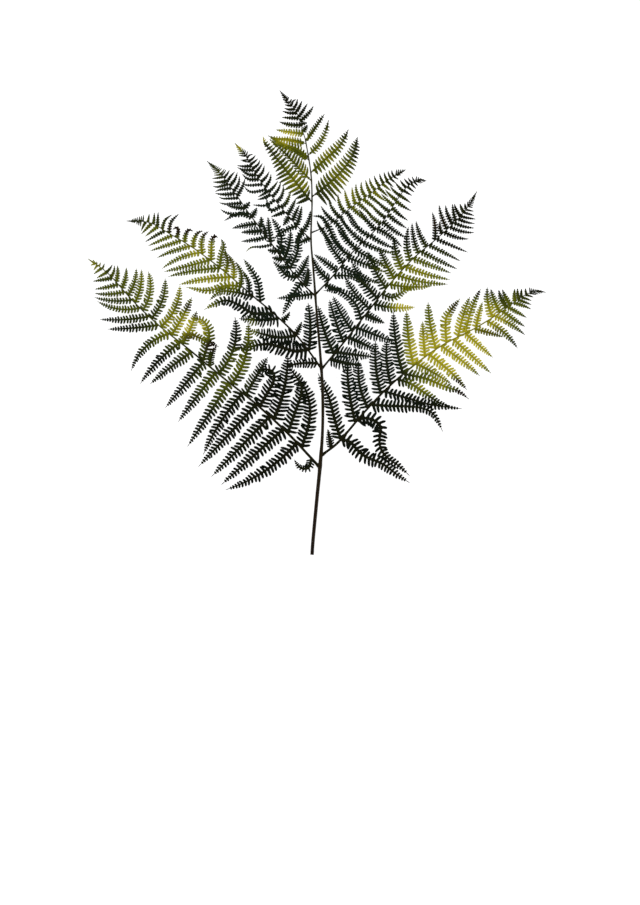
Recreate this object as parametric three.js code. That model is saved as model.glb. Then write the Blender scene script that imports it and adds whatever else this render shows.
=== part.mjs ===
// A cut bracken frond lying on a flat surface with its upper face to the sky.
// The stalk (stipe below, rachis above) carries pinnae to the left and right. Each pinna has
// a rib, the costa, with two rows of pinnules, and each pinnule is cut to its own rib into lobes.
// Millimetres. +Y runs from the cut foot of the stalk to the tip of the frond, +Z is up. Places are
// counted from a point on the surface under the stalk, 15 mm from its foot.
import * as THREE from "three";

// The part's own origin: on the surface, under the middle of the lying frond.
const ORIGIN = { x: 4, y: 217.7 };

// How the frond lies: a low dome. The stalk's foot, the outer tips and the frond's tip touch down.
const DOME_CENTRE = { x: 2, y: 250 };
const DOME_HALF_WIDTH = 232;
const DOME_TO_FOOT = 190;
const DOME_TO_TIP = 205;
const DOME_HEIGHT = 22;
const DOME_POWER = 1.5;
// Pinnules on a pinna's upper side dip under the next pinna; those on its lower side rise a little.
const UPPER_SLOPE = -0.08;
const LOWER_SLOPE = 0.04;

// Stalk: x, y and radius at stations along its axis, foot first.
const STALK_STATIONS = [
  [-1, -15, 1.65], [0, 0, 1.65], [4, 43, 1.75], [7, 74, 1.85], [9.5, 110, 1.5], [9.5, 150, 1.5],
  [7, 188, 1.3], [4, 222, 1.15], [0.5, 268, 1.05], [-2, 300, 0.85], [-1, 335, 0.75],
  [-2, 365, 0.65], [-7, 397, 0.5], [-9.3, 406, 0.45],
];
const STALK_SIDES = 8;
const STALK_RINGS = 30;
const STALK_COLOUR = "#33241a";

// Ribs and blades.
const JOINT_GAP = 0.3;
const COSTA_WIDTH_SHARE = 0.65;
const COSTA_TIP_HALF_WIDTH = 0.3;
const COSTA_THICKNESS_SHARE = 0.5;
const COSTA_LEAST_HALF_THICKNESS = 0.4;
const RIB_HALF_WIDTH = { base: 0.65, tip: 0.4 };
const RIB_HALF_THICKNESS = 0.42;
const BLADE_HALF_THICKNESS = 0.33;
const PINNULE_ROOT_SHARE = 0.2;

// Width of a pinnule from its midline to its lobe ends, by its length and by the room beside it.
const WIDTH_PER_LENGTH = 0.08;
const WIDTH_LEAST = 0.4;
const WIDTH_PER_ROOM = 0.34;
const ROOM_AT_ENDS_SHARE = 0.3;
const TAPER_POWER = 2.2;
const LOBE_PITCH = 20;
const LOBE_LEAN = 0.35;
const LAST_LOBE_SHARE = 0.5;

// Sideways bend of a pinnule's midline as a share of its length, plus toward the pinna's tip.
const UPPER_BEND = -0.06;
const LOWER_BEND = 0.02;

// The pinnae. "costa" is the rib from the rachis to the tip. "lower" is the row of pinnules on the
// side of the stalk's foot, "upper" the row on the side of the frond's tip: the ends of the pinnules
// in order from the rachis, the shares of the costa where the first and last one stand, and how
// much they crowd toward the tip. "via" holds the bends of a pinnule that is not a plain arc.
const PINNAE = [
  {
    name: "left_pinna_1",
    colour: "#2f3a1c",
    costa: [
      [5, 74.5], [-24.5, 106], [-57, 136], [-92, 164], [-124.5, 191], [-154, 214.5],
      [-180, 239], [-205, 266.5], [-226, 282],
    ],
    lower: {
      first: 0.1, last: 0.97, crowding: 1.5,
      ends: [
        [-88, 50], [-92, 55], [-102, 63], [-115, 73], [-110, 85], [-126, 93], [-134, 120],
        [-147, 136], [-163, 156], [-173, 158], [-182, 169], [-208, 212], [-216, 221], [-219, 239],
        [-219, 243], [-219, 247], [-219, 251], [-221, 259], [-217, 262], [-220, 266],
        [-220, 270], [-223, 275],
      ],
    },
    upper: {
      first: 0.077, last: 0.97, crowding: 1.7,
      ends: [
        [-7, 152], [-13, 167], [-27, 176], [-37, 173], [-45, 183], [-65, 218], [-78, 223],
        [-99, 195], [-106, 219], [-116, 229], [-121, 243], [-133, 255], [-148, 262], [-165, 269],
        [-172, 271], [-177, 272], [-187, 273], [-196, 275], [-199, 275], [-201, 276],
        [-209, 277], [-213, 278], [-217, 279], [-221, 281],
      ],
    },
    basal: { at: 0.03, end: [-19, 80.5], via: [[-5, 72], [-13, 72.5]] },
  },
  {
    name: "left_pinna_2",
    colour: "#28331c",
    costa: [
      [7.5, 172.5], [-14.5, 202], [-38, 225], [-60, 243.5], [-89.5, 269], [-118.5, 291],
      [-143, 306], [-163.5, 317.5], [-187.5, 319.5],
    ],
    lower: {
      first: 0.04, last: 0.96, crowding: 1.65,
      ends: [
        [-28, 176], [-80, 190], [-64, 210], [-74, 221], [-110, 229.5], [-103, 239], [-127, 252.5],
        [-134, 255], [-145, 263], [-149, 268], [-151, 271], [-156, 282], [-163, 289], [-165, 294],
        [-168, 298], [-168, 303.5], [-172, 306], [-172, 309], [-173, 313.5], [-176, 315.5],
        [-179, 317],
      ],
    },
    upper: {
      first: 0.08, last: 0.96, crowding: 1.9,
      ends: [
        [-5, 237], [-11, 218], [-23, 228], [-69.5, 281], [-67.5, 265], [-76, 282], [-91, 302],
        [-102, 307], [-109, 310], [-116, 309], [-123, 311], [-134, 314], [-134, 326.5],
        [-140, 326], [-155, 328.5], [-159, 328], [-164, 326.5], [-170, 325], [-172, 323.5],
        [-175, 323], [-179, 322],
      ],
    },
  },
  {
    name: "left_pinna_3",
    colour: "#242f1c",
    costa: [
      [2.5, 243], [-13, 258.5], [-31.5, 281.5], [-46, 302.5], [-62, 323.5], [-76.5, 344.5],
      [-94, 368], [-106.5, 379.5],
    ],
    lower: {
      first: 0.06, last: 0.92, crowding: 1.7,
      ends: [
        [-34, 222], [-36.5, 241], [-40, 278], [-67.5, 287], [-72, 298], [-72, 307], [-81.5, 311],
        [-88.5, 317], [-92.5, 330], [-93.5, 337], [-94, 343], [-98.5, 347], [-100, 353],
        [-101, 358.5], [-101, 362], [-100.5, 365.5], [-101, 370],
      ],
    },
    upper: {
      first: 0.075, last: 0.94, crowding: 1.5,
      ends: [
        [-5, 290], [-12, 289], [-15, 300], [-22, 302], [-29, 303.5], [-44.5, 323.5], [-54, 328],
        [-61, 334], [-68, 362], [-74, 364.5], [-76, 368], [-78.5, 368.5], [-83.5, 370],
        [-87.5, 371], [-90.5, 372], [-93.5, 374],
      ],
    },
  },
  {
    name: "left_pinna_4",
    colour: "#2b351c",
    costa: [
      [-2, 299.5], [-15, 312.5], [-31.5, 331.5], [-44, 347], [-55, 362.5], [-66, 382],
      [-78.5, 397.5],
    ],
    lower: {
      first: 0.06, last: 0.9, crowding: 1.4,
      ends: [
        [-15, 297], [-30, 315.5], [-41.5, 322], [-44, 329], [-60.5, 334.5], [-56, 341], [-69, 352],
        [-72, 357.5], [-71, 365.5], [-75, 372.5], [-74, 377], [-74.5, 380], [-74, 383],
        [-74.5, 387],
      ],
    },
    upper: {
      first: 0.07, last: 0.92, crowding: 1.4,
      ends: [
        [-4, 329], [-12, 333], [-15, 342], [-21, 349], [-29.5, 353.5], [-32, 357.5], [-34.5, 361],
        [-42, 366], [-43, 370], [-48.5, 374.5], [-50, 378], [-53.5, 381], [-57, 385.5],
        [-61, 388], [-66, 391],
      ],
    },
  },
  {
    name: "left_pinna_5",
    colour: "#333b1a",
    costa: [
      [-1, 337], [-9.5, 347.5], [-17.5, 357.5], [-31, 374.5], [-42.5, 389.5], [-48.5, 397],
      [-50, 404],
    ],
    lower: {
      first: 0.07, last: 0.88, crowding: 1.2,
      ends: [
        [-17, 335.5], [-18.5, 341.5], [-28, 348], [-31.5, 354], [-38, 360], [-37, 364], [-37.5, 368],
        [-40, 372.5], [-41.5, 377.5], [-43, 381.5], [-46, 387], [-48.5, 392],
      ],
    },
    upper: {
      first: 0.09, last: 0.86, crowding: 1.2,
      ends: [
        [-3.5, 350], [-4, 355], [-6, 360], [-11, 366], [-15.5, 370], [-20.5, 375], [-25, 381],
        [-29, 386], [-34, 390], [-38, 393], [-42.5, 396.5],
      ],
    },
  },
  {
    name: "left_pinna_6",
    colour: "#4a4f1c",
    costa: [[-2, 359], [-13, 370.5], [-27.5, 386], [-36, 394], [-43.5, 401]],
    lower: {
      first: 0.1, last: 0.9, crowding: 1.1,
      ends: [
        [-13.5, 362.5], [-18, 369], [-22.5, 375.5], [-27.5, 381.5], [-33, 387.5], [-38, 392], [-42, 397],
      ],
    },
    upper: {
      first: 0.12, last: 0.88, crowding: 1.1,
      ends: [
        [-5.5, 373], [-8.5, 378], [-12, 382.5], [-17, 387], [-22, 391], [-28, 394.5],
        [-34, 397.5], [-38.5, 400],
      ],
    },
  },
  {
    name: "left_pinna_7",
    colour: "#55581c",
    costa: [[-7.5, 395.5], [-13, 398.5], [-27.5, 402.5], [-36, 405], [-45.5, 408.5]],
    lower: {
      first: 0.14, last: 0.85, crowding: 1,
      ends: [[-15.5, 393.5], [-21, 396], [-27.5, 399], [-33.5, 401.5], [-40, 404.5]],
    },
    upper: {
      first: 0.14, last: 0.85, crowding: 1,
      ends: [[-14, 402], [-20.5, 404.5], [-27.5, 406.5], [-34, 408], [-40, 409]],
    },
  },
  {
    name: "right_pinna_1",
    colour: "#75741f",
    costa: [
      [10.5, 86], [26.5, 99], [51, 127.5], [75, 152.5], [99.5, 173.5], [128, 194], [161.5, 211.5],
      [189.5, 229], [208.5, 243], [223, 249], [234, 248],
    ],
    lower: {
      first: 0.08, last: 0.955, crowding: 1.6,
      ends: [
        [97, 57], [98, 66], [129.5, 108], [150.5, 131], [139, 141], [156.5, 141], [138.5, 156],
        [154, 150], [167, 164], [178.5, 166.5], [180, 182.5], [180, 202], [205, 191.5],
        [212.5, 205], [212.5, 213.5], [214, 222.5], [218.5, 231], [219, 235.5], [219, 239.5],
        [221, 243], [224, 245.5],
      ],
      via: {
        0: [[42.5, 93], [57, 80.5], [72, 70]],
        1: [[55, 115.5], [66, 111], [70, 100], [78, 87]],
        2: [[90, 128.5], [112, 122]],
        3: [[96, 137.5], [122, 133.5]],
      },
    },
    upper: {
      first: 0.08, last: 0.955, crowding: 1.5,
      ends: [
        [15.5, 157], [34.5, 182], [46, 180], [62.5, 199.5], [74, 201], [80.5, 228.5], [93.5, 229.5],
        [109.5, 218.5], [115, 238], [147, 241.5], [157, 243.5], [168, 251.5], [169.5, 238],
        [174.5, 253], [178, 251.5], [186, 250.5], [189.5, 251], [202, 251.5], [205, 252],
        [209, 251.5], [213, 252], [217, 253],
      ],
    },
    axil: { at: 0.035, end: [14.8, 111] },
  },
  {
    name: "right_pinna_2",
    colour: "#3a421c",
    costa: [
      [10.5, 173], [33, 200], [54, 227], [77.5, 256.5], [100.5, 281.5], [123.5, 301], [145, 321],
      [156.5, 336], [164.5, 349.5],
    ],
    lower: {
      first: 0.045, last: 0.95, crowding: 1.45,
      ends: [
        [49, 175], [60, 183], [63.5, 189], [81.5, 197], [71.5, 217.5], [102, 232.5], [94, 245],
        [119, 253.5], [135, 255.5], [137, 260], [138, 266.5], [144.5, 270.5], [147.5, 278.5],
        [155, 287.5], [156, 301], [161.5, 307.5], [161.5, 312], [162, 316.5], [163, 321],
        [162, 325.5], [162, 330], [163, 335],
      ],
    },
    upper: {
      first: 0.07, last: 0.95, crowding: 1.45,
      ends: [
        [11.5, 227], [16.5, 240], [20, 243.5], [10.5, 249], [32, 263], [39, 278], [54.5, 289],
        [66, 293], [80.5, 303], [95.5, 313], [99, 317], [103, 319], [119, 328], [127, 319],
        [126.5, 335.5], [132.5, 335.5], [139, 337], [143, 337], [147, 338], [151.5, 339],
        [155, 341],
      ],
      via: { 3: [[42, 236], [27, 248]] },
    },
  },
  {
    name: "right_pinna_3",
    colour: "#2b351c",
    costa: [
      [4, 246.5], [20.5, 264], [38.5, 286], [59.5, 306.5], [73, 322.5], [83.5, 339], [94, 353],
      [106.5, 360], [114, 359],
    ],
    lower: {
      first: 0.07, last: 0.93, crowding: 1.5,
      ends: [
        [25, 248], [55, 247], [67, 255], [73, 266.5], [78, 270], [82, 286], [81, 291], [86, 300],
        [93.5, 301.5], [94, 311], [95, 319], [98.5, 328.5], [98, 336.5], [99, 344], [101.5, 347.5],
        [103, 351], [105, 354], [108.5, 356.5],
      ],
    },
    upper: {
      first: 0.115, last: 0.93, crowding: 1.55,
      ends: [
        [5, 279], [6.5, 286.5], [10.5, 305.5], [17.5, 304], [24, 311], [30, 319], [35, 321],
        [46, 330.5], [52, 331.5], [58, 335], [62, 341], [68, 346], [72, 350.5], [77, 354],
        [82, 358], [87, 360], [91, 361.5], [95, 362.5], [99, 363.5], [104, 364],
      ],
    },
  },
  {
    name: "right_pinna_4",
    colour: "#29331c",
    costa: [
      [-0.5, 307], [15.5, 314], [30, 325.5], [44.5, 336.5], [59.5, 347.5], [73, 358.5], [93, 370.5],
    ],
    lower: {
      first: 0.08, last: 0.9, crowding: 1.3,
      ends: [
        [20, 292.5], [31.5, 287.5], [37.5, 295.5], [37, 307.5], [46.5, 311], [55, 317], [59, 323],
        [65.5, 328], [69, 333], [73, 338], [75, 342.5], [78, 348.5], [80.5, 352.5], [83, 356.5],
        [85.5, 360.5], [88.5, 365],
      ],
    },
    upper: {
      first: 0.08, last: 0.9, crowding: 1.3,
      ends: [
        [4, 319], [4, 326], [8, 333.5], [15.5, 339.5], [25, 345.5], [31.5, 350], [39, 352.5],
        [43, 356], [48.5, 358], [52.5, 360], [56.5, 362], [61, 364.5], [66.5, 366.5], [71, 368],
        [75, 369], [79, 370], [84, 371],
      ],
    },
  },
  {
    name: "right_pinna_5",
    colour: "#2c361c",
    costa: [[-0.5, 343], [8.5, 350], [26.5, 366], [33.5, 374.5], [39.5, 385], [43, 395], [44.5, 403.5]],
    lower: {
      first: 0.08, last: 0.88, crowding: 1.2,
      ends: [
        [14, 334], [22, 336.5], [26.5, 343], [30, 348], [33, 352.5], [36, 357.5], [38.5, 362],
        [41, 367], [43, 372], [44.5, 377], [45.5, 382], [46.5, 387.5], [47, 393.5],
      ],
    },
    upper: {
      first: 0.1, last: 0.86, crowding: 1.2,
      ends: [
        [3.5, 356], [7, 361.5], [11, 366], [16, 370], [20, 374], [24, 378], [28, 382], [31.5, 386.5],
        [35, 391], [38.5, 397],
      ],
    },
  },
  {
    name: "right_pinna_6",
    colour: "#2c361c",
    costa: [[-2, 367], [8.5, 377], [17.5, 385], [26.5, 394], [32, 402.5], [35.5, 411]],
    lower: {
      first: 0.09, last: 0.86, crowding: 1.15,
      ends: [
        [5, 365], [11, 367.5], [15.5, 372], [19.5, 376], [23.5, 380.5], [27, 385], [30, 390],
        [33, 395], [35, 401],
      ],
    },
    upper: {
      first: 0.12, last: 0.86, crowding: 1.15,
      ends: [
        [0.5, 378], [4.5, 383], [8.5, 387], [13, 391], [17, 394.5], [21, 398], [25.5, 402], [30, 407],
      ],
    },
  },
  {
    name: "right_pinna_7",
    colour: "#2f391c",
    costa: [[-4.5, 385], [5, 394], [11, 404], [14, 413.5], [15.5, 420.5]],
    lower: {
      first: 0.12, last: 0.84, crowding: 1,
      ends: [[3, 386], [8, 391], [12, 397.5], [15, 404.5], [17, 412]],
    },
    upper: {
      first: 0.14, last: 0.82, crowding: 1,
      ends: [[-2.5, 393], [2.5, 398.5], [6.5, 404], [9.5, 409.5], [12, 415]],
    },
  },
  {
    name: "right_pinna_8",
    colour: "#333d1c",
    costa: [[-7.2, 398.5], [3, 413.5], [11.5, 426.5]],
    lower: {
      first: 0.16, last: 0.82, crowding: 1,
      ends: [[-1.5, 401], [2.5, 407], [6.5, 413.5], [10.5, 420.5]],
    },
    upper: {
      first: 0.18, last: 0.8, crowding: 1,
      ends: [[-5.5, 407.5], [-2, 412.5], [2, 418], [6.5, 424]],
    },
  },
  {
    name: "frond_tip",
    colour: "#4d4a20",
    costa: [[-9.4, 406.3], [-13, 420], [-16, 430], [-23, 438.5], [-33.5, 450.5]],
    lower: {
      first: 0.05, last: 0.76, crowding: 1.2,
      ends: [
        [-37, 412], [-34.5, 419.5], [-31.5, 425], [-31.5, 430.5], [-30.5, 435], [-31, 439.5],
        [-32, 443],
      ],
    },
    upper: {
      first: 0.08, last: 0.82, crowding: 1.2,
      ends: [
        [-6, 420], [-0.5, 434], [-5.5, 438.5], [-11.5, 441], [-16, 443], [-22, 445], [-28, 448],
      ],
    },
  },
];

const mix = THREE.MathUtils.lerp;

// Height of the underside of the frond above the surface it lies on.
function domeHeight(x, y) {
  const along = y - DOME_CENTRE.y;
  const across = (x - DOME_CENTRE.x) / DOME_HALF_WIDTH;
  const share = along / (along < 0 ? DOME_TO_FOOT : DOME_TO_TIP);
  const room = Math.max(0, 1 - across * across - share * share);
  return DOME_HEIGHT * room ** DOME_POWER;
}

function smoothLine(places) {
  const points = places.map(([x, y, z = 0]) => new THREE.Vector3(x, y, z));
  return new THREE.CatmullRomCurve3(points, false, "catmullrom", 0.5);
}

function leftOf(direction) {
  return new THREE.Vector3(-direction.y, direction.x, 0).normalize();
}

// The stalk's axis in plan, with the radius carried as the third coordinate.
const stalkLine = smoothLine(STALK_STATIONS);
const stalkSamples = stalkLine.getPoints(800);

// Radius and distance of the stalk's axis nearest to a place in plan.
function nearestStalk(place) {
  let nearest = { distance: Infinity, radius: 0 };
  for (const sample of stalkSamples) {
    const distance = Math.hypot(sample.x - place.x, sample.y - place.y);
    if (distance < nearest.distance) {
      nearest = { distance, radius: sample.z };
    }
  }
  return nearest;
}

// A closed rod of even-sided rings, one flat side down, so that its foot lies flat.
function stalkGeometry() {
  const positions = [];
  const triangles = [];
  const flatHeight = Math.cos(Math.PI / STALK_SIDES);
  for (let ring = 0; ring <= STALK_RINGS; ring += 1) {
    const centre = stalkLine.getPointAt(ring / STALK_RINGS);
    const side = leftOf(stalkLine.getTangentAt(ring / STALK_RINGS));
    const radius = centre.z;
    const height = domeHeight(centre.x, centre.y) + radius * flatHeight;
    for (let corner = 0; corner < STALK_SIDES; corner += 1) {
      const angle = ((corner + 0.5) * 2 * Math.PI) / STALK_SIDES;
      const reach = radius * Math.cos(angle);
      const rise = radius * Math.sin(angle);
      positions.push(centre.x - side.x * reach, centre.y - side.y * reach, height + rise);
    }
  }
  for (let ring = 0; ring < STALK_RINGS; ring += 1) {
    for (let corner = 0; corner < STALK_SIDES; corner += 1) {
      const a = ring * STALK_SIDES + corner;
      const b = ring * STALK_SIDES + ((corner + 1) % STALK_SIDES);
      triangles.push(a, b + STALK_SIDES, b, a, a + STALK_SIDES, b + STALK_SIDES);
    }
  }
  const lastRing = STALK_RINGS * STALK_SIDES;
  for (let corner = 1; corner < STALK_SIDES - 1; corner += 1) {
    triangles.push(0, corner, corner + 1);
    triangles.push(lastRing, lastRing + corner + 1, lastRing + corner);
  }
  const geometry = new THREE.BufferGeometry();
  geometry.setAttribute("position", new THREE.Float32BufferAttribute(positions, 3));
  geometry.setIndex(triangles);
  return geometry;
}

// Where along the costa the pinnules of a row stand: wide apart first, crowding toward the tip.
function rowFractions(row) {
  const last = row.ends.length - 1;
  return row.ends.map((_, index) => {
    const remaining = (1 - index / last) ** row.crowding;
    return row.first + (row.last - row.first) * (1 - remaining);
  });
}

// Midline of a pinnule: an arc from the costa to its end, or a line through its own bends.
function pinnuleMidline(base, forward, end, via, bend) {
  if (via) {
    return smoothLine([[base.x, base.y], ...via, end]);
  }
  const tip = new THREE.Vector3(end[0], end[1], 0);
  const chord = tip.clone().sub(base);
  const sideways = leftOf(chord);
  if (sideways.dot(forward) < 0) {
    sideways.negate();
  }
  const middle = base.clone().addScaledVector(chord, 0.5);
  middle.addScaledVector(sideways, 2 * bend * chord.length());
  return new THREE.QuadraticBezierCurve3(base, middle, tip);
}

// Outline of one pinnule from its root on the costa round to its root again.
// "corner" gives a place on the costa's edge.
function pinnuleOutline(midline, width, rootHalf, at, costaLength, corner) {
  const length = midline.getLength();
  const lobes = Math.round(length / LOBE_PITCH);
  const stations = [];
  if (lobes === 0) {
    stations.push({ share: 0.5, half: width, edge: true });
  }
  for (let lobe = 1; lobe <= lobes; lobe += 1) {
    const lobeShare = (lobe - LOBE_LEAN) / (lobes + LAST_LOBE_SHARE);
    const notchShare = lobe / (lobes + LAST_LOBE_SHARE);
    const ribHalf = mix(RIB_HALF_WIDTH.base, RIB_HALF_WIDTH.tip, notchShare);
    stations.push({ share: lobeShare, half: width * (1 - lobeShare ** TAPER_POWER) + ribHalf, edge: true });
    stations.push({ share: notchShare, half: ribHalf, edge: false });
  }
  const near = [];
  const far = [];
  for (const { share, half, edge } of stations) {
    const place = midline.getPointAt(share);
    const sideways = leftOf(midline.getTangentAt(share));
    const thickness = edge ? BLADE_HALF_THICKNESS : RIB_HALF_THICKNESS;
    const run = share * length;
    near.push({ place: place.clone().addScaledVector(sideways, half), thickness, run });
    far.unshift({ place: place.clone().addScaledVector(sideways, -half), thickness, run });
  }
  const tip = { place: midline.getPointAt(1), thickness: BLADE_HALF_THICKNESS, run: length };
  const rootShare = rootHalf / costaLength;
  const before = corner(at - rootShare);
  const after = corner(at + rootShare);
  const firstSide = leftOf(midline.getTangentAt(0));
  const nearIsBefore = before.place.clone().sub(after.place).dot(firstSide) > 0;
  const middle = nearIsBefore ? [...near, tip, ...far] : [...far.reverse(), tip, ...near.reverse()];
  return [before, ...middle, after];
}

// Room between two neighbouring pinnules, from their spacing on the costa and between their ends.
function roomBeside(pinnule, other, costaLength) {
  const atCosta = Math.abs(other.at - pinnule.at) * costaLength;
  const atEnds = Math.hypot(other.end[0] - pinnule.end[0], other.end[1] - pinnule.end[1]);
  return mix(atCosta, atEnds, ROOM_AT_ENDS_SHARE);
}

// The pinnules of one row, in order from the rachis.
function rowPinnules(spec, rowName) {
  const row = spec[rowName];
  const bend = rowName === "upper" ? UPPER_BEND : LOWER_BEND;
  const pinnules = rowFractions(row).map((at, index) => {
    return { at, end: row.ends[index], via: row.via?.[index], bend };
  });
  const extra = rowName === "upper" ? spec.axil : spec.basal;
  return extra ? [{ bend: 0, ...extra }, ...pinnules] : pinnules;
}

// Outline of a whole pinna: out along its lower row of pinnules and back along its upper row.
function pinnaOutline(spec) {
  const costa = smoothLine(spec.costa);
  const costaLength = costa.getLength();
  const stalkRadius = nearestStalk(costa.getPointAt(0)).radius;
  const costaThickness = Math.max(COSTA_LEAST_HALF_THICKNESS, COSTA_THICKNESS_SHARE * stalkRadius);
  const lowerIsLeft = Math.sign(leftOf(costa.getTangentAt(0.3)).dot(lowerDirection(spec)));

  const edgePlace = (at, rowName) => {
    const sign = rowName === "lower" ? lowerIsLeft : -lowerIsLeft;
    const half = mix(COSTA_WIDTH_SHARE * stalkRadius, COSTA_TIP_HALF_WIDTH, at);
    return costa.getPointAt(at).addScaledVector(leftOf(costa.getTangentAt(at)), sign * half);
  };
  const edgeCorner = (at, rowName) => {
    const thickness = mix(costaThickness, COSTA_LEAST_HALF_THICKNESS, at);
    return { place: edgePlace(at, rowName), thickness, run: 0, at };
  };
  const seatedAt = (rowName) => {
    let at = 0;
    let stalk = nearestStalk(edgePlace(at, rowName));
    while (stalk.distance < stalk.radius + JOINT_GAP) {
      at += 0.05 / costaLength;
      stalk = nearestStalk(edgePlace(at, rowName));
    }
    return at;
  };
  const walkRow = (rowName) => {
    const slope = rowName === "upper" ? UPPER_SLOPE : LOWER_SLOPE;
    const pinnules = rowPinnules(spec, rowName);
    const corners = [edgeCorner(seatedAt(rowName), rowName)];
    pinnules.forEach((pinnule, index) => {
      const { at, end, via, bend } = pinnule;
      const neighbours = [pinnules[index - 1], pinnules[index + 1]].filter(Boolean);
      const room = Math.min(...neighbours.map((other) => roomBeside(pinnule, other, costaLength)));
      const midline = pinnuleMidline(costa.getPointAt(at), costa.getTangentAt(at), end, via, bend);
      const wanted = WIDTH_PER_LENGTH * midline.getLength() + WIDTH_LEAST;
      const width = Math.min(wanted, WIDTH_PER_ROOM * room);
      const rootHalf = Math.min(RIB_HALF_WIDTH.base, PINNULE_ROOT_SHARE * room);
      const corner = (fraction) => edgeCorner(fraction, rowName);
      const outline = pinnuleOutline(midline, width, rootHalf, at, costaLength, corner);
      corners.push(...outline.map((point) => ({ at, ...point, slope })));
    });
    return corners;
  };
  const tip = { place: costa.getPointAt(1), thickness: COSTA_LEAST_HALF_THICKNESS, run: 0, at: 1 };
  const corners = [...walkRow("lower"), tip, ...walkRow("upper").reverse()];
  return corners.map(({ place, thickness, run, at, slope = 0 }) => {
    const lift = mix(stalkRadius, BLADE_HALF_THICKNESS, at) + slope * run;
    const middle = Math.max(thickness, domeHeight(place.x, place.y) + lift);
    return { x: place.x, y: place.y, middle, thickness };
  });
}

// Direction from the costa toward its lower row of pinnules.
function lowerDirection(spec) {
  const ends = spec.lower.ends;
  const [x, y] = ends[Math.floor(ends.length * 0.3)];
  const [farX, farY] = spec.upper.ends[Math.floor(spec.upper.ends.length * 0.3)];
  return new THREE.Vector3(x - farX, y - farY, 0);
}

// A thin blade cut to an outline and bent to the heights of its corners, both faces split alike.
function bladeGeometry(outline) {
  const placeKey = (x, y) => `${Math.fround(x)} ${Math.fround(y)}`;
  const corners = new Map(outline.map((corner) => [placeKey(corner.x, corner.y), corner]));
  const shape = new THREE.Shape(outline.map(({ x, y }) => new THREE.Vector2(x, y)));
  const geometry = new THREE.ExtrudeGeometry(shape, { depth: 1, bevelEnabled: false });
  const position = geometry.getAttribute("position");
  for (let index = 0; index < position.count; index += 1) {
    const corner = corners.get(placeKey(position.getX(index), position.getY(index)));
    const face = position.getZ(index) > 0.5 ? 1 : -1;
    position.setZ(index, corner.middle + face * corner.thickness);
  }
  return geometry;
}

function namedMesh(name, geometry, colour, roughness) {
  geometry.computeVertexNormals();
  const mesh = new THREE.Mesh(geometry, new THREE.MeshStandardMaterial({ color: colour, roughness }));
  mesh.name = name;
  return mesh;
}

const laid = new THREE.Group();
laid.position.set(-ORIGIN.x, -ORIGIN.y, 0);
laid.add(namedMesh("stalk", stalkGeometry(), STALK_COLOUR, 0.5));
for (const spec of PINNAE) {
  laid.add(namedMesh(spec.name, bladeGeometry(pinnaOutline(spec)), spec.colour, 0.6));
}
const frond = new THREE.Group();
frond.name = "bracken_frond";
frond.add(laid);

export default frond;
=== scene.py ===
# %% [markdown]
# # A cut bracken frond, seen from above
#
# A bracken frond is a leaf cut three times over. The stalk (stipe below, rachis above) carries
# pairs of pinnae, each pinna has a rib, the costa, with two rows of pinnules, and each pinnule is
# cut into lobes along its own rib. The solid model has the stalk and every pinnule with coarse
# cut edges. Here each of those nodes is replaced by a finer piece on the same midlines: the lobes
# get their true number, their rolled edges and mid veins, and the leaf gets its colours.

import math

import bpy
import numpy as np
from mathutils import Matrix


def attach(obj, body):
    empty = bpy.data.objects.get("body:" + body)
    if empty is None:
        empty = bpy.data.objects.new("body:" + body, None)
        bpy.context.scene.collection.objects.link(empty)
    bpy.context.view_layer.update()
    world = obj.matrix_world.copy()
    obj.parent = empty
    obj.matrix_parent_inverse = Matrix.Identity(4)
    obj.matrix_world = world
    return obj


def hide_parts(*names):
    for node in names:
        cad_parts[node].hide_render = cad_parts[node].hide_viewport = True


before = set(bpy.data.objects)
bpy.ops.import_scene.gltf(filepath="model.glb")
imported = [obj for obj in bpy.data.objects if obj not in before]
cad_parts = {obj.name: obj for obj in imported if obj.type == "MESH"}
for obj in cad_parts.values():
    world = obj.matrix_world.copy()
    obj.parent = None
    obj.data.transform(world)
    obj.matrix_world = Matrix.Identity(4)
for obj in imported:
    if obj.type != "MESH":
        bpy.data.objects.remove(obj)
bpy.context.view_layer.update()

# %% [markdown]
# ## Units and the frame
# The places below are millimetres counted from a point on the table under the stalk, 15 mm from
# its cut foot, with +Y toward the frond's tip. The frame's own origin lies under the middle of the
# frond, so every finished mesh is shifted by that much and turned to metres in one place.

# %% Units
MM = 0.001
FRAME_ORIGIN = (4.0, 217.7)
PHOTO_HEIGHT = 905
draw = np.random.default_rng(29)
print("frame origin mm:", FRAME_ORIGIN)

# %% [markdown]
# ## Camera, light and floor
# The frond lies flat and is seen straight from above, so the camera hangs over the middle of the
# picture with a long lens: a long lens keeps the rows of pinnules parallel toward the edges. One
# picture point stands for one millimetre, which fixes the distance from the lens and the sensor.
# The light is a big soft panel at the upper left and a weaker one opposite, over a bright world,
# and the floor glows a little so that it stays white and the shadows stay faint.

# %% Camera
LENS_MM = 135
SENSOR_MM = 36
VIEW_CENTRE = (3.0, -130.2)
FROND_MID_HEIGHT = 8.0

camera_data = bpy.data.cameras.new("camera_above")
camera_data.lens = LENS_MM
camera_data.sensor_width = SENSOR_MM
camera_data.clip_end = 20
camera = bpy.data.objects.new("camera_above", camera_data)
camera_height = FROND_MID_HEIGHT + PHOTO_HEIGHT * LENS_MM / SENSOR_MM
camera.location = (VIEW_CENTRE[0] * MM, VIEW_CENTRE[1] * MM, camera_height * MM)
bpy.context.scene.collection.objects.link(camera)
bpy.context.scene.camera = camera
print("camera height mm:", round(camera_height))


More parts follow.
